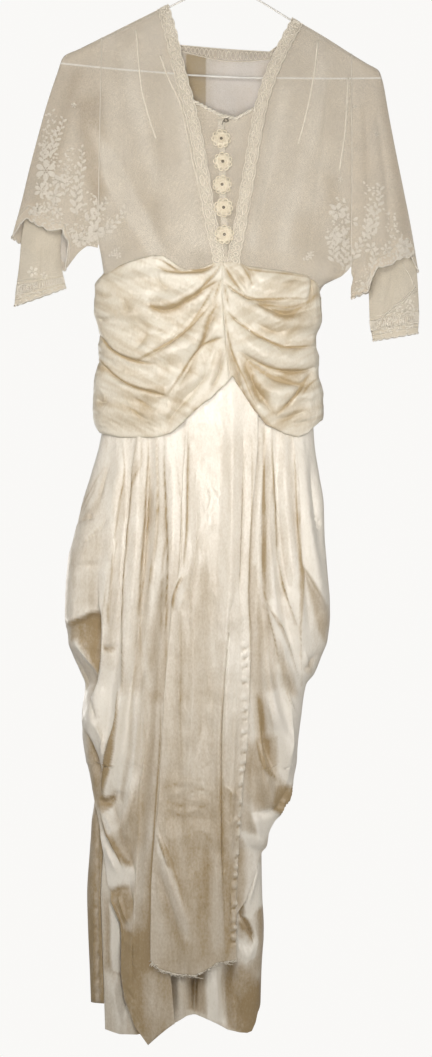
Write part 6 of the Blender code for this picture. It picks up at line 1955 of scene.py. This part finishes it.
def add_lace_edges():
    """Scalloped edging on each side of the V: a dense band, a chain of loops and corded edges."""
    made = {}
    for name, table in (("l", FRONT_L), ("r", FRONT_R)):
        steps = LACE_SCALLOPS * 8 + 1
        points = lace_points(table, np.linspace(-1, 1, 9), steps)
        piece = add_cloth("v_lace_" + name, points, LACE, LACE_THICK)
        made["lace_" + name] = stands_for(piece, "lace", "lace_edge_" + name)
        work = Work()
        front = moved_out(points, 0.9)
        for side in (0, -1):
            work.thread(front[side], 0.75, 5)
        add_bobbin_lace(work, front, LACE_SCALLOPS, steps)
        work.finish("v_lace_loops_" + name, THREAD)
    made["neck"] = add_neck_lace()
    return made


def add_satin(name, points, finish, tone, node):
    """A satin shell in the place of a node of the model."""
    return stands_for(add_cloth(name, points, finish, SATIN_THICK, tone=tone), "satin", node)


# The girdle's long edges turn in by this much, in mm, over one part in this many of its height
GIRDLE_ROLL = 1.8
GIRDLE_ROLL_PARTS = 60
# The small wrinkles of the girdle's fronts: how far they turn from the vertical, height, seeds
GIRDLE_TURN = 1.1
GIRDLE_FINE = 0.75
GIRDLE_SEED = 3
GIRDLE_TONE_SEED = 71


def add_girdle_front(side, size, start, end):
    """One front of the girdle with its ruching and creases, and a turned-in edge."""
    u, s = unit_grid(*size)
    nominal = ring(*GIRDLE_RING, mix(start(WAIST), end(WAIST), u))[0]
    down = mix(line(GIRDLE_TOP, nominal), line(GIRDLE_BOTTOM, nominal), s)
    points = girdle(mix(start(down), end(down), u), down)
    x = points[..., 0]
    turn = math.copysign(GIRDLE_TURN, nominal.mean())
    meeting = smooth(0, 9, np.abs(x - line(GIRDLE_GATHER, down)))
    creased = crease_height(x, down, GIRDLE_CREASES)
    fine = GIRDLE_FINE * crushed(x, down, turn, GIRDLE_SEED) * meeting
    height = fold_height(x, down, GIRDLE_FOLDS) + creased + fine * np.sin(np.pi * s) ** 0.3
    rolled = -GIRDLE_ROLL * (1 - np.clip(np.minimum(s, 1 - s) * GIRDLE_ROLL_PARTS, 0, 1)) ** 2
    # Painted shade along sharp folds, in troughs, on steep sides and in zones; negative zones are highlights
    lines = crease_height(x, down, strokes((LINE_TONE, *path) for path in GIRDLE_LINES))
    tone = (0.07 + meeting * painted_shade_of(points, creased + fine, turn, GIRDLE_TONE_SEED, 0.9)
            + 1.1 * lines + 0.85 * shaded(x, down, GIRDLE_SHADES))
    points = moved_out(points, np.maximum(height, -1.5) + rolled)
    return add_satin("girdle_satin_" + side, points, GIRDLE_SATIN, tone, "girdle_front_" + side)


def add_girdle():
    """Both fronts, which meet in the gathers, and the back."""
    made = {
        "girdle_l": add_girdle_front("l", GIRDLE_L_GRID, lambda down: GIRDLE_SIDE_DEGREES, gather_degrees),
        "girdle_r": add_girdle_front("r", GIRDLE_R_GRID, gather_degrees,
                                     lambda down: 180 - GIRDLE_SIDE_DEGREES)}
    u, s = unit_grid(*GIRDLE_BACK_GRID)
    points = girdle_back(u, s)
    x, down = points[..., 0], -points[..., 2]
    fine = 0.8 * crumple(x + down, down, cell_x=19, cell_y=12, seed=5)
    height = crease_height(x, down, GIRDLE_BACK_CREASES) + fine
    held = smooth(0, 0.06, u) * smooth(1, 0.94, u)
    points = moved_out(points, np.maximum(height, -2.5) * held)
    # Painted shade in the back's troughs and on its steep sides
    tone = painted_shade_of(points, height, math.pi / 2, seed=75)
    made["girdle_back"] = add_satin("girdle_satin_back", points, GIRDLE_SATIN, tone, "girdle_back")
    return made


# Satin darker towards the hem: heights between which the tone rises, and the rise
HEM_TONE = ((700, 950, 0.06), (950, 1250, 0.2))
HEM_TONE_LEAST = 0.05


def dressed(points, creases, pressed, held, fine, seed, streaky=0.4, shades=(), lines=()):
    """A satin piece with its own creases, pleats and fine wrinkles, with the painted shade and highlights
    that go with them, and darker towards the hem.
    """
    x, down = points[..., 0], -points[..., 2]
    creased = crease_height(x, down, creases + pleats(pressed)) * held
    rough = fine * crushed(x, down, 0.0, seed) * held
    front = points[..., 1] < 0
    # Painted shade along each pleat's edge, then the zones and strokes of painted shade and highlights
    pressed_shade_lines = strokes((LINE_TONE, *pleat[3:]) for pleat in pressed)
    painted = shaded(x, down, shades) + crease_height(x, down, pressed_shade_lines)
    painted = painted + crease_height(x, down, strokes(lines))
    # Tone that rises towards the hem
    hem_tone = HEM_TONE_LEAST
    for low, high, rise in HEM_TONE:
        hem_tone = hem_tone + rise * smooth(low, high, down)
    tone = painted_shade_of(points, creased + rough, 0.0, seed + 5, streaky) + painted * front + hem_tone
    return moved_out(points, creased + rough), tone


# Threads of the frayed hem: number, seed, least and most length and radius in mm, how much longer
# they are in a tuft and beside it, and the spread of their lean
FRAY_THREADS = 220
FRAY_SEED = 12
FRAY_LENGTH = (1.2, 4.5)
FRAY_RADIUS = 0.38
FRAY_TUFT = (1.5, 0.7)
FRAY_LEAN = 0.7


def add_fray(edge):
    """Loose threads along a raw edge, in small tufts."""
    rng = np.random.default_rng(FRAY_SEED)
    work = Work()
    for _ in range(FRAY_THREADS):
        at = rng.uniform(0, len(edge) - 1.01)
        start = mix(edge[int(at)], edge[int(at) + 1], at % 1)
        in_tuft, beside_it = FRAY_TUFT
        long = rng.uniform(*FRAY_LENGTH) * (in_tuft if math.sin(0.55 * at) > 0.5 else beside_it)
        lean = rng.normal(0, FRAY_LEAN)
        strand = [start + (long * share * lean + 1.2 * math.sin(5 * share + at), -0.6 - 1.5 * share,
                           1.0 - long * share * (1 - 0.3 * share)) for share in (0, 0.33, 0.66, 1)]
        work.thread(strand, FRAY_RADIUS, 4)
    work.finish("frayed_hem", THREAD)


# Height of the small wrinkles on the skirt's satin
SKIRT_FINE = 0.45


def add_drape(side, surface, low, size, seed):
    """One pleated drape, left plain where the apron covers it."""
    columns, rows = size
    u, down = grid(np.linspace(0, 1, columns), np.linspace(SKIRT_TOP, low, rows))
    points = surface(u, down)
    held = drape_window(points[..., 0], down) * smooth(0, -10, points[..., 1])
    points, tone = dressed(points, DRAPE_CREASES, DRAPE_PLEATS, held, SKIRT_FINE, seed, streaky=0.35,
                           shades=DRAPE_SHADES, lines=SKIRT_LINES)
    return add_satin("drape_satin_" + side, points, SATIN, tone, "drape_" + side)


def add_apron():
    """The long front panel, with its puckered seam and its frayed hem."""
    u, s = unit_grid(*PANEL_GRID)
    sewn = puckers(PANEL_SEAM)
    # A painted highlight on each pucker's ridge and painted shade in its dimple
    lines = SKIRT_LINES + PANEL_LINES + tuple((-0.16 * tall, *path) for _, tall, _, *path in sewn)
    points, tone = dressed(front_panel(u, s), PANEL_CREASES + sewn, PANEL_PLEATS, held=1.0,
                           fine=SKIRT_FINE, seed=41, streaky=0.25, shades=PANEL_SHADES, lines=lines)
    points = moved_out(points, APRON_LIFT)
    piece = add_cloth("apron_satin", points, SATIN, SATIN_THICK, tone=tone)
    add_fray(points[:, -1])
    return stands_for(piece, "satin", "front_panel")


def add_skirt_back():
    """The back panel, with the puckered seam of its edge that wraps forward."""
    columns, rows = SKIRT_BACK_GRID
    u, down = grid(np.linspace(0, 1, columns), np.linspace(SKIRT_TOP, BACK_LOW, rows))
    points = skirt_back(u, down)
    x, y = points[..., 0], points[..., 1]
    behind = smooth(8, 26, y) * smooth(0, 0.06, u) * smooth(1, 0.94, u)
    strip = smooth(-2, -8, y) * smooth(0.01, 0.03, u)
    seam = crease_height(x, down, STRIP_CREASES + puckers(STRIP_SEAM)) * strip
    points, tone = dressed(points, BACK_CREASES, (), behind, SKIRT_FINE, seed=51)
    # Painted shade and highlights on the front of the strip
    tone = tone + shaded(x, down, STRIP_SHADES) * (y < 0)
    return add_satin("back_satin", moved_out(points, seam), SATIN, tone, "skirt_back")


def add_underskirt():
    """The narrow underskirt, creased below the drapes."""
    u, s = unit_grid(*UNDER_GRID)
    hem = line(UNDER_HEM, mix(UNDER_HEM[0][0], UNDER_HEM[-1][0], u))
    down = mix(SKIRT_TOP, hem, 1 - (1 - s) ** 1.5)
    held = smooth(960, 1040, down) * smooth(0, 0.03, u) * smooth(1, 0.97, u)
    points, tone = dressed(underskirt(u, down), UNDER_CREASES, (), held, fine=0.5, seed=61,
                           shades=UNDER_SHADES)
    return add_satin("underskirt_satin", points, UNDER_SATIN, tone, "underskirt")


def add_skirt():
    """The drapes, the apron, the back panel and the underskirt."""
    return {
        "drape_l": add_drape("l", drape_l, GOWN_LENGTH, DRAPE_L_GRID, seed=21),
        "drape_r": add_drape("r", drape_r, DRAPE_R_LOW, DRAPE_R_GRID, seed=31),
        "panel": add_apron(),
        "back": add_skirt_back(),
        "under": add_underskirt()}


# Camera, light and stage, in metres
CAMERA_AWAY = 7.0
SENSOR = 36.0
FLOOR_DROP = 0.55
FLOOR_RADIUS = 2.1
FLOOR_GLOW = 0.5
FLOOR_SIDES = 64
ROOM_LIGHT = 0.16
ROOM_SEEN = 0.95
WARM = (1.0, 0.965, 0.91)
PALE = (1.0, 0.97, 0.93)
MIDDLE = (0.0, 0.0, -0.56)
# Lights: name, place, aim, size, power in watts, colour, then the spread in degrees where it is narrow
LIGHTS = (
    ("key", (-0.25, -1.05, 0.05), MIDDLE, 0.30, 2.2, WARM, 120),
    ("glow", (0.02, -1.35, -0.52), MIDDLE, 0.30, 1.85, WARM, 95),
    ("low", (0.05, -1.5, -1.05), (0.0, 0.0, -1.15), 0.35, 0.55, WARM, 80),
    ("fill_left", (-1.5, -1.0, -0.75), MIDDLE, 0.5, 4.3, PALE),
    ("fill_right", (1.5, -1.0, -0.75), MIDDLE, 0.5, 5.2, PALE),
    ("side_left", (-1.8, -0.3, -0.75), MIDDLE, 0.5, 2.0, PALE),
    ("side_right", (1.8, -0.3, -0.75), MIDDLE, 0.5, 3.2, PALE),
    ("behind", (0.7, 2.4, 0.5), MIDDLE, 0.9, 24, (1.0, 0.975, 0.94)),
    ("behind_low", (-1.3, 1.9, -0.8), MIDDLE, 0.5, 5, PALE))


def add_light(name, place, aim, size, power, colour, spread=180):
    """An area light that is aimed at a point."""
    light = bpy.data.lights.new(name, "AREA")
    light.size = size
    light.energy = power
    light.color = colour
    light.spread = math.radians(spread)
    made = bpy.data.objects.new(name, light)
    made.location = place
    made.rotation_euler = (Vector(aim) - Vector(place)).to_track_quat("-Z", "Y").to_euler()
    bpy.context.scene.collection.objects.link(made)


def add_camera():
    """A camera straight before the gown, which frames it as the photograph does."""
    across, high = PHOTO_SIZE
    data = bpy.data.cameras.new("camera")
    data.sensor_fit = "VERTICAL"
    data.sensor_height = SENSOR
    data.lens = SENSOR * CAMERA_AWAY / (high * PIXEL * MM)
    camera = bpy.data.objects.new("camera", data)
    middle_x = (across / 2 - PHOTO_MIDDLE) * PIXEL * MM
    middle_z = -(high / 2 - PHOTO_TOP) * PIXEL * MM
    camera.location = (middle_x, -CAMERA_AWAY, middle_z)
    camera.rotation_euler = (math.pi / 2, 0, 0)
    bpy.context.scene.collection.objects.link(camera)
    bpy.context.scene.camera = camera


def add_floor():
    """A round pale floor, below the gown."""
    mesh = bpy.data.meshes.new("floor")
    turns = np.arange(FLOOR_SIDES) * 2 * math.pi / FLOOR_SIDES
    low = cad_box[0][2] - FLOOR_DROP
    mesh.from_pydata([(FLOOR_RADIUS * math.cos(a), FLOOR_RADIUS * math.sin(a), low) for a in turns], [],
                     [tuple(range(FLOOR_SIDES))])
    mesh.materials.append(plain("floor_white", (246, 244, 240)))
    board = bpy.data.objects.new("floor", mesh)
    bpy.context.scene.collection.objects.link(board)


def add_room():
    """A white room that lights the gown less than it shows."""
    world = bpy.data.worlds.new("studio")
    world.use_nodes = True
    tree = world.node_tree
    path = tree.nodes.new("ShaderNodeLightPath")
    strength = tree.nodes.new("ShaderNodeMapRange")
    strength.inputs["To Min"].default_value = ROOM_LIGHT
    strength.inputs["To Max"].default_value = ROOM_SEEN
    tree.links.new(path.outputs["Is Camera Ray"], strength.inputs["Value"])
    tree.links.new(strength.outputs[0], tree.nodes["Background"].inputs["Strength"])
    tree.nodes["Background"].inputs["Color"].default_value = srgb(255, 254, 252)
    bpy.context.scene.world = world
    bpy.context.scene.view_settings.view_transform = "Standard"


def add_stage():
    """The camera, the floor, the room and the lights."""
    add_camera()
    add_floor()
    add_room()
    for light in LIGHTS:
        add_light(*light)


def dress():
    """Put every piece of the gown on the model."""
    pieces = add_bodice()
    pieces.update(add_sleeves())
    pieces.update(add_chemisette())
    pieces.update(add_lace_edges())
    add_buttons()
    pieces.update(add_girdle())
    pieces.update(add_skirt())
    add_hook(Ground(pieces["chemisette"], pieces["tab"]))
    add_embroidery(pieces)
    add_armhole_seams()
    add_tucks(pieces)
    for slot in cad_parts["hanger"].material_slots:
        slot.material = painted_wire()


add_stage()
dress()
